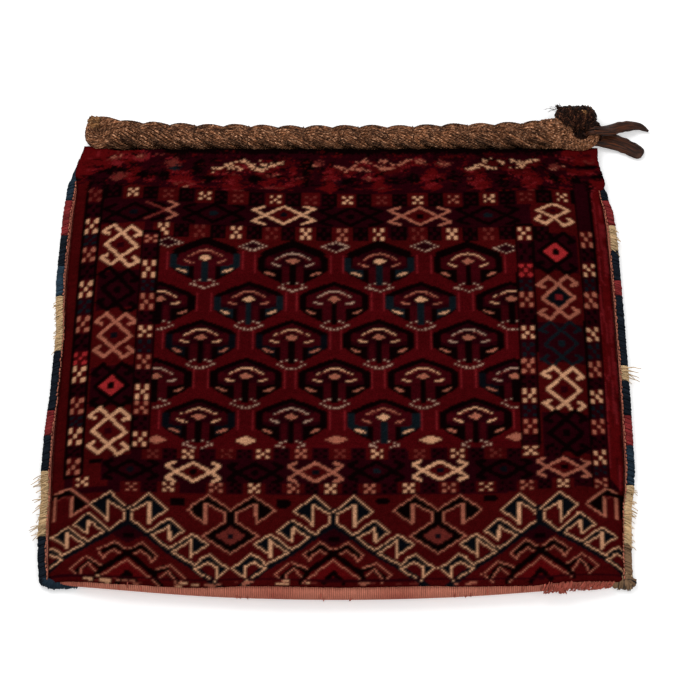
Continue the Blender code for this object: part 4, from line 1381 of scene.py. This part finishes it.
def build_weave(materials):
    """The ribbed plain weave of the fold, the back and the hem, as one thin closed cloth."""
    reach = WEAVE_REACH
    count = WEAVE_RIBS * RIB_STEPS
    rows = WEAVE_ARC_STEPS + WEAVE_FLAT_STEPS
    outer, inner = [], []
    for j in range(count + 1):
        x = -reach + 2 * reach * j / count
        rib = RIB_DEPTH * (1 - abs(math.sin(math.pi * j / RIB_STEPS))) + rng.uniform(0, 0.00012)
        lines = weave_line(x, rib)
        outer.append(lines[0])
        if j % RIB_STEPS == 0:
            inner.append(lines[1])
    vertices = [point for line in outer for point in line]
    faces = grid_faces(count, rows, 0)
    under = len(vertices)
    vertices += [point for line in inner for point in line]
    faces += [tuple(reversed(face)) for face in grid_faces(len(inner) - 1, rows, under)]
    for end in (0, rows):
        for n in range(len(inner) - 1):
            near = [(n * RIB_STEPS + m) * (rows + 1) + end for m in range(RIB_STEPS + 1)]
            far = [under + (n + 1) * (rows + 1) + end, under + n * (rows + 1) + end]
            face = tuple(near + far)
            faces.append(face if end == 0 else tuple(reversed(face)))
    for n, first in ((0, 0), (len(inner) - 1, count * (rows + 1))):
        for i in range(rows):
            face = (first + i, first + i + 1, under + n * (rows + 1) + i + 1, under + n * (rows + 1) + i)
            faces.append(tuple(reversed(face)) if n == 0 else face)
    piece = new_piece("kilim_back", vertices, faces, materials["weave"])
    radius = fold_arc(0.0)[0]
    length = math.pi * radius + BAG_LENGTH + HEM_REACH
    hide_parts("bag_cloth")


# The side bindings

BINDING_TUCK = 0.006
BINDING_SLANT = 0.35
BINDING_YARN = YARN_PITCH * 0.56
BINDING_CORE = 0.0046
# How far the worn ivory turns stand out, by side and number of the length
FRAYED_REACH = {(-1, 9): 0.014, (-1, 5): 0.004, (1, 3): 0.004, (1, 7): 0.018, (1, 11): 0.007}


def binding_loop(slack):
    """One turn of yarn round the selvedge: outward distances and heights."""
    low = SELVEDGE_LIFT - CLEARANCE - slack
    high = SELVEDGE_LIFT + SELVEDGE_THICKNESS + CLEARANCE + slack
    middle, half = (low + high) / 2, (high - low) / 2
    nose = 0.0006 + slack
    loop = [(-BINDING_REACH, high), (-BINDING_REACH / 2, high + 0.0002)]
    for i in range(7):
        angle = math.pi / 2 - math.pi * i / 6
        loop.append((nose - half * 0.5 + half * 0.5 * math.cos(angle), middle + half * math.sin(angle)))
    loop += [(-BINDING_REACH / 2, low - 0.0002), (-BINDING_REACH, low)]
    return loop


def build_bindings(side, side_name, yarns, materials):
    """Yarn wound turn by turn over each stretch of the selvedge, over a plain core."""
    upper = MOUTH_Y - BINDING_MOUTH_GAP
    for i, (yarn, length) in enumerate(yarns):
        lower = CORNER_Y + CLEARANCE if length is None else upper - length
        strands = Strands()
        turns = round((upper - lower) / YARN_PITCH)
        path = []
        loop = binding_loop(BINDING_YARN * 0.72)
        for turn in range(turns):
            offset = rng.normal(0, 0.0005)
            lift = rng.normal(0, 0.0002)
            for k, (outward, height) in enumerate(loop):
                share = (turn + 0.5 + 0.8 * (k / (len(loop) - 1) - 0.5)) / turns
                y = upper - (upper - lower) * share + offset - BINDING_SLANT * outward
                y = min(max(y, lower + BINDING_YARN), upper - BINDING_YARN)
                tuck = BINDING_TUCK * cover(side, y)
                edge = half_width(y) + stray(side, y) - tuck
                path.append((side * (edge + outward + lift), y, height + lift - tuck / 6))
        shades = np.clip(rng.normal(0.5, 0.4, turns), -0.4, 1.4)
        for turn in range(turns):
            piece_path = path[turn * len(loop):(turn + 1) * len(loop)]
            strands.add(piece_path, BINDING_YARN, 6, shade=shades[turn])
        steps = max(2, round((upper - lower) / 0.02))
        core = [(side * (half_width(y) + stray(side, y) - 0.0045), y, SELVEDGE_LIFT + SELVEDGE_THICKNESS / 2)
                for y in np.linspace(upper - 0.001, lower + 0.001, steps + 1)]
        strands.add(core, BINDING_CORE, 12, flat=0.86, shade=0.0)
        if yarn == "ivory":
            fray_binding(strands, side, upper, lower, FRAYED_REACH[(side, i + 1)])
        name = f"{side_name}_wound_{i + 1:02d}_{yarn}"
        piece = strands.make(name, materials[yarn], SLOTS[yarn])
        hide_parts(f"{side_name}_binding_{i + 1:02d}_{yarn}")
        upper = lower


def fray_binding(strands, side, upper, lower, reach):
    """Worn turns whose ends stand out from the side of the bag."""
    count = round((upper - lower) / 0.0026)
    for _ in range(count):
        y = rng.uniform(lower + 0.002, upper - 0.002)
        edge = half_width(y) + stray(side, y)
        start = (side * (edge - 0.008), y, 0.0125)
        out = rng.uniform(0.05, 1.0) ** 2 * reach
        drop = rng.uniform(-0.012, 0.001)
        end = (side * (edge + 0.003 + out), y + drop, rng.uniform(0.006, 0.012))
        path = bent_path(start, end, (0, 0, rng.uniform(0.001, 0.0035)), 6, 0.0003)
        strands.add(path, np.linspace(0.0010, 0.0004, 6), 5, shade=rng.uniform(0.3, 1.0))


STITCH_PITCH = 0.0052
CORNER_LOOPS = 30


def build_edge_stitching(materials):
    """The running stitches that hold the joined selvedges, just outside the pile."""
    for side, name in ((-1, "left_edge_stitching"), (1, "right_edge_stitching")):
        strands = Strands()
        y = MOUTH_Y - COVER_LENGTH[side] + 0.004
        while y > CORNER_Y + 0.006:
            length = STITCH_PITCH * rng.uniform(0.55, 0.95)
            x = half_width(y) + stray(side, y) - 0.0094 + rng.normal(0, 0.0003)
            z = SELVEDGE_LIFT + SELVEDGE_THICKNESS + 0.0030
            lean = rng.normal(0, 0.0006)
            start, end = (side * x, y, z), (side * (x + lean), y - length, z)
            path = bent_path(start, end, (0, 0, 0.0006), 4)
            strands.add(path, 0.0009 * rng.uniform(0.8, 1.2), 6, shade=rng.uniform(0.2, 1.0))
            y -= STITCH_PITCH
        strands.make(name, materials["stitching"], "ivory_yarn")


def build_corner(side, name, node, yarn, accents, length, materials):
    """The binding fastened off round the corner: yarn loops that turn from the side to the fold."""
    strands = {yarn: Strands()}
    for accent in accents:
        strands[accent] = Strands()
    outer = BAG_WIDTH / 2
    names = [yarn, yarn] + list(accents)
    for n in range(CORNER_LOOPS):
        share = n / (CORNER_LOOPS - 1)
        along = max(0.0, share * (length + 0.006) - 0.006)
        turn = math.pi / 2 * min(1.0, share * 2.0)
        x = outer - 0.005 - along
        y = CORNER_Y + 0.005 * (1 - min(1.0, share * 3))
        reach = 0.0080 - 0.0035 * share + rng.normal(0, 0.0006)
        dx, dy = math.cos(turn) * reach, -math.sin(turn) * reach
        start = (side * (x - dx * 0.5), y - dy * 0.5, 0.0112)
        tip = (side * (x + dx), y + dy, 0.0060 + rng.normal(0, 0.0005))
        under = (side * (x - dx * 0.5), y - dy * 0.5, 0.0014)
        upper = bent_path(start, tip, (0, 0, 0.0022), 6)
        lower = bent_path(tip, under, (0, 0, -0.0010), 5)
        path = np.concatenate([upper, lower[1:]])
        pick = names[int(rng.integers(0, len(names)))] if accents else yarn
        strands[pick].add(path, 0.00125, 6, shade=rng.uniform(0.1, 0.9))
    core = [(side * (outer - 0.003), CORNER_Y + 0.002, 0.0060),
            (side * (outer - 0.014), CORNER_Y - 0.001, 0.0060),
            (side * (outer - length + 0.002), CORNER_Y - 0.002, 0.0058)]
    strands[yarn].add(core, [0.0040, 0.0044, 0.0030], 10, flat=1.0, shade=0.0)
    for colour, bunch in strands.items():
        piece = bunch.make(f"{name}_{colour}", materials[colour], SLOTS[colour])
        if colour == yarn:
            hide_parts(node)


def build_tassel(materials):
    """Frayed binding yarns that spread from the right corner."""
    for colour, count in (("grey_brown", 60), ("ivory", 12), ("navy", 14)):
        tassel = Strands()
        for _ in range(count):
            share = rng.uniform(0, 1)
            start = np.array((0.3790 - 0.017 * share, -0.3150 + rng.normal(0, 0.002), 0.0105))
            end = start + (rng.uniform(-0.008, 0.001), -rng.uniform(0.007, 0.015), -rng.uniform(0.004, 0.009))
            path = bent_path(start, end, (rng.normal(0, 0.001), 0, 0.0016), 6, 0.0003)
            tassel.add(path, np.linspace(0.0013, 0.0008, 6), 5, shade=rng.uniform(-0.2, 0.9))
        tassel.make("corner_tassel_" + colour, materials[colour], SLOTS[colour])


# The braided rope: sizes of its strands and yarns, and how many hairs stray from it

STRAND_HALF_WIDTH = 0.0130
STRAND_HALF_HEIGHT = 0.0073
STRAND_YARNS = 15
ROPE_YARN = 0.0020
ROPE_SAG = 0.004
ROPE_STEP = 0.0016
PLAIT_LEAN = 0.6
PLAIT_YARN_TURN = 0.24
FRAYED_HAIRS = 360
STRAY_HAIRS = 1100


def rope_scale(x):
    """The rope is fuller towards its two ends."""
    middle = (ROPE_LEFT + ROPE_RIGHT) / 2
    return 1 + ROPE_END_SWELL * min(1.0, abs(x - middle) / (ROPE_LENGTH / 2)) ** 2


def rope_seat(x):
    scale = rope_scale(x)
    share = (x - (ROPE_LEFT + ROPE_RIGHT) / 2) / (ROPE_LENGTH / 2)
    y = MOUTH_Y + MOUTH_SLIT + scale * ROPE_WIDTH / 2 - ROPE_SAG * (1 - min(1.0, share * share))
    z = BACK_THICKNESS + CLEARANCE + scale * ROPE_THICKNESS / 2
    return y, z


def ply_relief(depth, plies, pitch, lead=0.0):
    """Ridges of the plies, which wind round a yarn."""
    def relief(along, angle):
        wind = plies * angle - 2 * math.pi * along / pitch * plies + lead
        return depth * np.abs(np.cos(wind / 2)) - depth / 2
    return relief


def edge_relief(depth):
    """The uneven edges of old leather."""
    def relief(along, angle):
        ripple = depth * 0.5 * np.sin(310 * along + 2 * np.sin(120 * along)) * np.abs(np.cos(angle))
        return ripple + depth * np.sin(9 * angle + 1.5 * np.sin(60 * along))
    return relief


def strand_point(index, x):
    scale = rope_scale(x)
    seat_y, seat_z = rope_seat(x)
    turn = 2 * math.pi * (x - ROPE_LEFT) / BRAID_PERIOD + 2 * math.pi * index / 3
    spread = scale * (ROPE_WIDTH / 2 - STRAND_HALF_WIDTH)
    stack = scale * (ROPE_THICKNESS / 2 - STRAND_HALF_HEIGHT)
    height = (math.sin(2 * turn) - PLAIT_LEAN * math.cos(turn)) / (1 + PLAIT_LEAN / 2)
    return np.array((x, seat_y + spread * math.sin(turn), seat_z + stack * height))


def build_rope(materials):
    """Three flattened strands plaited round each other, each a bunch of two-ply yarns."""
    steps = round(ROPE_LENGTH / ROPE_STEP * 1.2)
    for index in range(3):
        xs = [ROPE_LEFT + ROPE_LENGTH * i / steps for i in range(steps + 1)]
        path = [strand_point(index, x) for x in xs]
        swell = np.array([rope_scale(x) * (1 + 0.05 * math.sin(41 * x + index)) for x in xs])
        strands = Strands()
        relief = ply_relief(0.42, 2, 0.0080, index)
        strands.bundle(path, STRAND_HALF_WIDTH * swell, STRAND_HALF_HEIGHT * swell, STRAND_YARNS,
                       ROPE_YARN, -2 * math.pi / PLAIT_YARN_TURN, (relief,), 0.62, 6, 0.85)
        piece = strands.make(f"plaited_strand_{index + 1}", materials["hair"], "goat_hair")
        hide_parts(f"rope_strand_{index + 1}")


# The strands' way round the rope's left end, from its seat, and the cut ends' directions and lengths
END_BENDS = (
    ((0.018, 0.009, 0.004), (-0.008, 0.0165, 0.003), (-0.0225, 0.0155, 0.001), (-0.0275, 0.0070, 0.0),
     (-0.0262, -0.0075, -0.001), (-0.014, -0.0145, -0.001), (0.016, -0.0115, -0.002)),
    ((0.014, 0.001, -0.003), (-0.006, 0.003, -0.002), (-0.018, 0.004, -0.003)),
)
CUT_ENDS = ((112, 0.013), (128, 0.017), (146, 0.016), (168, 0.013), (196, 0.012))


def build_rope_end(materials):
    """The plait's left end: the strands turn back on themselves and their cut ends fray."""
    seat_y, seat_z = rope_seat(ROPE_LEFT)
    seat = np.array((ROPE_LEFT, seat_y, seat_z))
    strands = Strands()
    relief = ply_relief(0.30, 2, 0.0085)
    for bend in END_BENDS:
        path = curve_through(seat + bend, ROPE_STEP)
        swell = 0.74 + 0.26 * np.sin(np.linspace(0, math.pi, len(path)))
        strands.bundle(path, 0.0106 * swell, 0.0090 * swell, 14, ROPE_YARN, 2 * math.pi / 0.085, (relief,))
    piece = strands.make("rope_end_lobe", materials["hair"], "goat_hair")
    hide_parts("rope_left_end")
    frayed = Strands()
    for turn, length in CUT_ENDS:
        away = np.array((math.cos(math.radians(turn)), math.sin(math.radians(turn)), 0.0))
        foot = seat + (-0.0200, 0.012, 0.004)
        bow = foot + away * length * 0.6 + (0, 0, 0.002)
        path = curve_through((foot, bow, foot + away * length), ROPE_STEP)
        frayed.bundle(path, 0.0042, 0.0034, 6, 0.0016, 2 * math.pi / 0.05, (relief,), 0.5, 6)
    for _ in range(FRAYED_HAIRS):
        angle = rng.uniform(0.42, 1.20) * math.pi
        root = seat + (-0.0190, 0.011, 0.0085)
        start = root + (math.cos(angle) * 0.003 + 0.004, math.sin(angle) * 0.006, rng.uniform(-0.002, 0.002))
        reach = rng.uniform(0.008, 0.0165)
        end = root + (math.cos(angle) * reach, math.sin(angle) * reach, -reach * rng.uniform(0.1, 0.8))
        path = bent_path(start, end, rng.normal(0, 0.0008, 3) + (0, 0, 0.0022), 6, 0.0003)
        frayed.add(path, np.linspace(0.0011, 0.0005, 6), 5, shade=rng.uniform(0.0, 1.1))
    frayed.make("rope_end_fray", materials["frayed"], "goat_hair")


def eye_centre():
    x = ROPE_RIGHT + CLEARANCE + EYE_GAP + EYE_CORD / 2 + EYE_RADIUS
    y = MOUTH_Y + MOUTH_SLIT + rope_scale(ROPE_RIGHT) * ROPE_WIDTH / 2
    z = SELVEDGE_LIFT + BACK_THICKNESS + THONG_THICKNESS + 2 * CLEARANCE + EYE_CORD / 2
    return np.array((x, y, z))


EYE_STEP = 0.0011
EYE_YARN = 0.0033
EYE_PLY_PITCH = 0.0092
NECK_YARN = 0.0037
NECK_SHARES = (0, 0.42, 0.75, 1)
NECK_HALF_WIDTHS = (0.0090, 0.0236, 0.0248, 0.0195)
NECK_HALF_HEIGHTS = (0.0050, 0.0136, 0.0112, 0.0082)


def build_eye(materials):
    """The flat neck and the eye worked from it: two-ply yarns of opposite twist, side by side."""
    centre = eye_centre()
    reliefs = (ply_relief(0.46, 2, EYE_PLY_PITCH), ply_relief(0.46, 2, -EYE_PLY_PITCH))
    strands = Strands()
    turns = np.linspace(0, 2 * math.pi, 116)
    ring = centre + EYE_RADIUS * np.stack([np.cos(turns), np.sin(turns), 0 * turns], 1)
    tube = np.full(len(ring), EYE_CORD / 2 * 1.06)
    strands.bundle(ring, tube, tube, 8, EYE_YARN, 0.0, reliefs, 0.62, 9)
    seat_y, seat_z = rope_seat(ROPE_RIGHT)
    neck = curve_through(((ROPE_RIGHT - 0.034, seat_y, seat_z - 0.003),
                          (ROPE_RIGHT - 0.010, seat_y, seat_z - 0.001),
                          (ROPE_RIGHT + 0.012, centre[1] + 0.001, (seat_z + centre[2]) / 2),
                          (centre[0] - 0.0170, centre[1] + 0.001, centre[2] - 0.001)), EYE_STEP)
    shares = np.linspace(0, 1, len(neck))
    across = np.interp(shares, NECK_SHARES, NECK_HALF_WIDTHS)
    height = np.interp(shares, NECK_SHARES, NECK_HALF_HEIGHTS)
    strands.bundle(neck, across, height, 20, NECK_YARN, 0.0, reliefs, 0.62, 9)
    run = curve_through(((ROPE_RIGHT + 0.006, centre[1] - 0.0150, centre[2] + 0.0015),
                         (centre[0] - 0.0150, centre[1] - 0.0190, centre[2]),
                         (centre[0] + 0.0010, centre[1] - 0.0196, centre[2] - 0.0002),
                         (centre[0] + 0.0130, centre[1] - 0.0140, centre[2])), EYE_STEP)
    strands.bundle(run, 0.0078, 0.0078, 8, EYE_YARN, 0.0, reliefs, 0.62, 9)
    piece = strands.make("braided_eye", materials["hair"], "goat_hair")
    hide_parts("rope_eye")


LASHING_SIZE = np.array((0.0300, 0.0175, 0.0130))
LASHING_PLACE = np.array((0.3440, 0.3690, 0.0167))
TUFT_ROOT = np.array((0.3270, 0.3790, 0.0190))
TUFT_TIP = np.array((0.3172, 0.3905, 0.0190))
WISP_ROOT = np.array((0.3200, 0.3800, 0.0190))
WISP_TIPS = ((0.2980, 0.3860, 0.0150), (0.3060, 0.3880, 0.0180), (0.3040, 0.3800, 0.0200))
PALE_PLACE = np.array((0.3580, 0.3775, 0.0324))
MATTED_HAIRS = 620
WOUND_HAIRS = 80
LOOSE_HAIRS = 40
PALE_HAIRS = 150
HOLLOW_HAIRS = 90


def build_lashing(materials):
    """A matted lump of dark hair wound over the eye's far side, with loose wisps."""
    centre = LASHING_PLACE
    eye = eye_centre()
    strands = Strands()
    shares = np.linspace(-1, 1, 30)
    spine = [centre + (LASHING_SIZE[0] * t * 0.93, 0.0015 * math.sin(3 * t), 0.0) for t in shares]
    width = [LASHING_SIZE[1] * (1 - 0.88 * t ** 4) ** 0.5 * (1 + 0.07 * math.sin(9 * t)) for t in shares]
    lumps = ply_relief(0.20, 7, 0.09)
    strands.add(spine, width, 30, lumps, LASHING_SIZE[2] / LASHING_SIZE[1], 30.0, 0.2)
    for _ in range(MATTED_HAIRS):
        around = rng.uniform(0, 2 * math.pi)
        across = rng.uniform(-0.97, 0.97)
        wrap = rng.uniform(0.4, 1.5)
        drift = rng.normal(0, 0.45)
        lift = rng.uniform(0.98, 1.14)
        path = []
        for k in range(8):
            angle = around + wrap * (k / 7 - 0.5)
            t = min(max(across + drift * (k / 7 - 0.5), -0.99), 0.99)
            ring = math.sqrt(1 - 0.88 * t ** 4) * (lift + 0.03 * rng.random())
            path.append(centre + LASHING_SIZE * (t * 0.95, ring * math.cos(angle), ring * math.sin(angle)))
        thick = rng.choice((1.0, 1.0, 1.0, 2.0))
        strands.add(path, np.linspace(0.0013, 0.0006, 8) * thick, 4, shade=rng.uniform(-0.5, 1.5))
    for _ in range(WOUND_HAIRS):
        turn = math.radians(rng.uniform(-12, 158))
        middle = eye + EYE_RADIUS * np.array((math.cos(turn), math.sin(turn), 0.0))
        out = np.array((math.cos(turn), math.sin(turn), 0.0))
        lean = rng.normal(0, 0.0018)
        reach = EYE_CORD / 2 + (rng.uniform(0.0008, 0.0024) if turn > 0.7 else rng.uniform(0.0028, 0.0050))
        path = []
        for k in range(12):
            angle = -0.5 + 4.2 * k / 11
            slip = np.array((-out[1], out[0], 0.0)) * lean * (k / 11 - 0.5) * 4
            away = out * math.cos(angle) + np.array((0, 0, 1.0)) * math.sin(angle)
            path.append(middle + slip + reach * away)
        strands.add(path, 0.0011, 5, shade=rng.uniform(0.0, 0.6))
    for _ in range(LOOSE_HAIRS):
        start = TUFT_ROOT + rng.normal(0, 0.0030, 3)
        end = TUFT_TIP + rng.normal(0, 0.0014, 3)
        strands.add(bent_path(start, end, rng.normal(0, 0.0008, 3), 5), np.linspace(0.0010, 0.0003, 5), 4,
                    shade=rng.uniform(0.0, 0.5))
    for end in WISP_TIPS:
        for _ in range(2):
            start = WISP_ROOT + rng.normal(0, 0.0012, 3)
            far = end + rng.normal(0, 0.0012, 3)
            path = bent_path(start, far, (0, 0.002, 0.002), 7, 0.0002)
            strands.add(path, np.linspace(0.0004, 0.0002, 7), 4, shade=0.3)
    piece = strands.make("hair_tuft", materials["dark_hair"], "dark_hair")
    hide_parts("hair_lashing")
    patch = Strands()
    for _ in range(PALE_HAIRS):
        start = PALE_PLACE + rng.normal(0, 0.0036, 3) * (1, 1.2, 0.1)
        start[2] = max(start[2] - 60 * ((start[1] - 0.369) ** 2 + 0.4 * (start[0] - 0.350) ** 2), 0.020)
        end = start + (rng.normal(0, 0.0025), rng.normal(0.001, 0.004), 0.0)
        end[2] = max(end[2] - 60 * ((end[1] - 0.369) ** 2 - (start[1] - 0.369) ** 2), 0.018)
        patch.add(bent_path(start, end, (0, 0, 0.0014), 5), 0.0007, 4, shade=rng.uniform(-0.2, 1.1))
    patch.make("pale_hair_patch", materials["frayed"], "dark_hair")
    hollow = Strands()
    for _ in range(HOLLOW_HAIRS):
        start = eye + (rng.uniform(-0.011, 0.011), -0.012, -0.004 + rng.normal(0, 0.001))
        end = eye + (rng.uniform(-0.011, 0.011), 0.014, 0.001 + rng.normal(0, 0.002))
        hollow.add(bent_path(start, end, (0, 0, -0.002), 6, 0.0004), 0.0012, 5, shade=rng.uniform(0, 0.2))
    hollow.make("hair_in_eye", materials["dark_hair"], "dark_hair")


# The thong's two arms, from the eye outwards, with half widths and half thicknesses by share of length
THONG_UPPER = ((0.3670, 0.3440, 0.0285), (0.3773, 0.3443, 0.0262), (0.3860, 0.3470, 0.0215),
               (0.3947, 0.3510, 0.0165), (0.4062, 0.3572, 0.0125), (0.4236, 0.3617, 0.0100),
               (0.4366, 0.3630, 0.0070), (0.4439, 0.3607, 0.0050), (0.4511, 0.3567, 0.0034))
UPPER_WIDTHS = ((0, 0.2, 0.35, 0.65, 0.82, 0.92, 1), (0.0066, 0.0072, 0.0086, 0.0086, 0.0062, 0.0044, 0.0014))
UPPER_THICKNESS = ((0, 0.35, 1), (0.0026, 0.0034, 0.0014))
THONG_LOWER = ((0.3670, 0.3385, 0.0100), (0.3773, 0.3376, 0.0090), (0.3947, 0.3377, 0.0070),
               (0.4062, 0.3346, 0.0052), (0.4207, 0.3280, 0.0042), (0.4323, 0.3210, 0.0037),
               (0.4395, 0.3163, 0.0036))
LOWER_WIDTHS = ((0, 0.12, 0.35, 0.6, 0.88, 0.96, 1), (0.0088, 0.0096, 0.0122, 0.0120, 0.0112, 0.0092, 0.0050))
LOWER_THICKNESS = ((0, 0.4, 1), (0.0034, 0.0036, 0.0026))


def build_thong(materials):
    """A leather thong looped through the eye: two arms that part beyond it."""
    centre = eye_centre()
    bend = []
    for i in range(9):
        angle = math.pi / 2 + math.pi * i / 8
        bend.append((centre[0] + EYE_RADIUS + 0.0105 * math.cos(angle), centre[1],
                     centre[2] + 0.0099 * math.sin(angle)))
    strands = Strands()
    for arm, widths, thicknesses, shade in ((THONG_UPPER, UPPER_WIDTHS, UPPER_THICKNESS, 0.6),
                                            (THONG_LOWER, LOWER_WIDTHS, LOWER_THICKNESS, 0.5)):
        line = curve_through(arm, 0.0013)
        shares = np.linspace(0, 1, len(line))
        width = np.interp(shares, *widths)
        thick = np.interp(shares, *thicknesses)
        strands.add(line, width, 24, edge_relief(0.09), thick / width, 0.0, shade)
    strands.add(curve_through(bend, 0.0016), 0.0072, 20, edge_relief(0.06), 0.30, 0.0, 0.5)
    piece = strands.make("split_thong", materials["leather"], "leather")
    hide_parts("leather_thong")


def build_rope_stitches(materials):
    """Hair threads that bind the rope to the hem, sunk between its strands."""
    solids = []
    for index in range(3):
        item = bpy.data.objects[f"plaited_strand_{index + 1}"]
        solids.append(BVHTree.FromPolygons([v.co for v in item.data.vertices],
                                           [tuple(p.vertices) for p in item.data.polygons]))
    for index in range(STITCH_COUNT):
        x = ROPE_LEFT + ROPE_LENGTH * (index + 0.5) / STITCH_COUNT
        seat_y, seat_z = rope_seat(x)
        path = [(x, seat_y - 0.023, 0.0042)]
        for i in range(17):
            angle = math.pi * (i / 16)
            away = Vector((0.0, -math.cos(angle), 0.75 * math.sin(angle)))
            start = Vector((x, seat_y, seat_z)) + away * 0.06
            hits = [solid.ray_cast(start, -away) for solid in solids]
            hits = [hit[0] for hit in hits if hit[0] is not None]
            if hits:
                near = min(hits, key=lambda place: (place - start).length)
                path.append(tuple(near + away * 0.0004))
        path += [(x, seat_y + 0.0245, 0.0075), (x, seat_y + 0.0225, 0.0022), (x, seat_y + 0.012, 0.0016)]
        strands = Strands()
        path = curve_through(path, 0.0010)
        strands.add(path, 0.0008, 6, shade=0.25)
        piece = strands.make(f"rope_binding_thread_{index + 1}", materials["hair"], "goat_hair")
        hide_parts(f"rope_stitch_{index + 1}")


def build_stray_hairs(materials):
    """Short hairs that stand off the rope and its eye."""
    strands = Strands()
    for _ in range(STRAY_HAIRS):
        x = rng.uniform(ROPE_LEFT - 0.02, ROPE_RIGHT + 0.04)
        index = int(rng.integers(0, 3))
        if x > ROPE_RIGHT or x < ROPE_LEFT:
            seat_y, seat_z = rope_seat(min(max(x, ROPE_LEFT), ROPE_RIGHT))
            centre = np.array((x, seat_y, seat_z))
            reach = 0.014
        else:
            centre = strand_point(index, x)
            reach = STRAND_HALF_HEIGHT
        angle = rng.uniform(0, math.pi)
        away = np.array((rng.normal(0, 0.3), math.cos(angle), 0.8 * math.sin(angle)))
        start = centre + away * reach * 0.95
        lean = np.array((rng.choice((-1, 1)) * rng.uniform(0.003, 0.010), rng.normal(0, 0.003), 0.0))
        end = start + lean + away * rng.uniform(0.0004, 0.0035)
        strands.add(bent_path(start, end, (0, 0, 0.001), 5, 0.0002), np.linspace(0.00022, 0.0001, 5), 3,
                    shade=rng.uniform(0.2, 1.0))
    strands.make("rope_stray_hairs", materials["hair"], "goat_hair")


WARP_ENDS = 150
BUNCHED_ENDS = 34
SCATTERED_ENDS = 16


def add_warp_end(strands, x, length, slant):
    radius, centre, top_y = fold_arc(x)
    angle = rng.uniform(0.55, 1.3)
    root = radius * 0.985
    start = (x + slant * length, top_y - root * math.sin(angle), centre + root * math.cos(angle))
    low = angle + 0.5
    far_y = top_y - (radius + length * 0.5) * math.sin(low)
    end = (x - slant * length, far_y, centre + (radius + length * 0.3) * math.cos(low))
    strands.add(bent_path(start, end, (0, -0.001, 0.001), 6, 0.0002), 0.00075, 5, shade=rng.uniform(0.0, 1.0))


def build_warp_ends(materials):
    """Cut warp ends at the fold: most near the right corner, a few along the rest."""
    strands = Strands()
    for _ in range(WARP_ENDS):
        x = rng.uniform(0.262, 0.352)
        add_warp_end(strands, x, rng.uniform(0.003, 0.007), rng.normal(0.35, 0.2))
    for _ in range(BUNCHED_ENDS):
        x = rng.normal(0.2865, 0.0035)
        add_warp_end(strands, x, rng.uniform(0.005, 0.011), rng.normal(0.0, 0.35))
    for _ in range(SCATTERED_ENDS):
        x = rng.uniform(-0.30, 0.26)
        add_warp_end(strands, x, rng.uniform(0.0005, 0.0015), rng.normal(0.1, 0.3))
    strands.make("cut_warp_ends", materials["warp_ends"], "red_yarn")


# The photograph's camera, floor and light

FLOOR_SIZE = 12
FLOOR_HEIGHT = -0.0005
FLOOR_GREY = 0.90
FLOOR_LIFT = 0.35
ROOM_LIGHT = 0.42
LAMPS = (("key", (-0.7, 0.9, 1.9), 1.2, 22), ("fill", (0.9, -0.9, 1.7), 1.6, 12))


def build_stage():
    floor_material = Graph("pale_floor", 0.9, specular=0.0)
    floor_material.finish((FLOOR_GREY, FLOOR_GREY, FLOOR_GREY))
    seen = floor_material.node("ShaderNodeLightPath", output="Is Camera Ray")
    seen = seen + floor_material.node("ShaderNodeLightPath", output="Is Glossy Ray")
    seen = seen + floor_material.node("ShaderNodeLightPath", output="Is Transmission Ray")
    glow = floor_material.shade((FLOOR_LIFT, FLOOR_LIFT, FLOOR_LIFT), seen)
    floor_material.feed(floor_material.shader.inputs["Emission Color"], glow)
    floor_material.shader.inputs["Emission Strength"].default_value = 1.0
    bpy.ops.mesh.primitive_plane_add(size=FLOOR_SIZE, location=(0, 0, FLOOR_HEIGHT))
    floor = bpy.context.object
    floor.name = "floor"
    floor.data.materials.append(floor_material.material)
    world = bpy.data.worlds.new("soft_room")
    bpy.context.scene.world = world
    world.use_nodes = True
    world.node_tree.nodes["Background"].inputs["Color"].default_value = (1, 1, 1, 1)
    world.node_tree.nodes["Background"].inputs["Strength"].default_value = ROOM_LIGHT
    for name, place, size, power in LAMPS:
        lamp = bpy.data.lights.new(name, "AREA")
        lamp.energy = power
        lamp.size = size
        light = bpy.data.objects.new(name, lamp)
        light.location = place
        light.rotation_euler = (CAMERA_TARGET - Vector(place)).to_track_quat("-Z", "Y").to_euler()
        bpy.context.scene.collection.objects.link(light)


def build_camera():
    lens = bpy.data.cameras.new("photo_camera")
    lens.lens = CAMERA_LENS
    lens.sensor_width = 36
    camera = bpy.data.objects.new("photo_camera", lens)
    angle = math.radians(CAMERA_ELEVATION)
    away = Vector((0.0, -math.cos(angle), math.sin(angle))) * CAMERA_DISTANCE
    camera.location = CAMERA_TARGET + away
    camera.rotation_euler = (-away).to_track_quat("-Z", "Y").to_euler()
    bpy.context.scene.collection.objects.link(camera)
    bpy.context.scene.camera = camera


def main():
    build_camera()
    build_stage()
    bpy.context.scene.view_settings.view_transform = "Standard"
    materials = make_materials()
    build_pile(draw_face(), materials)
    build_foundation(materials)
    build_weave(materials)
    build_bindings(-1, "left", LEFT_BINDING, materials)
    build_bindings(1, "right", RIGHT_BINDING, materials)
    build_edge_stitching(materials)
    build_corner(-1, "left_corner", "left_corner_ear", "dark_blue", (), 0.040, materials)
    build_corner(1, "right_corner", "right_corner_ear", "grey_brown", ("navy",), 0.022, materials)
    build_tassel(materials)
    build_rope(materials)
    build_rope_end(materials)
    build_eye(materials)
    build_lashing(materials)
    build_thong(materials)
    build_rope_stitches(materials)
    build_stray_hairs(materials)
    build_warp_ends(materials)


main()
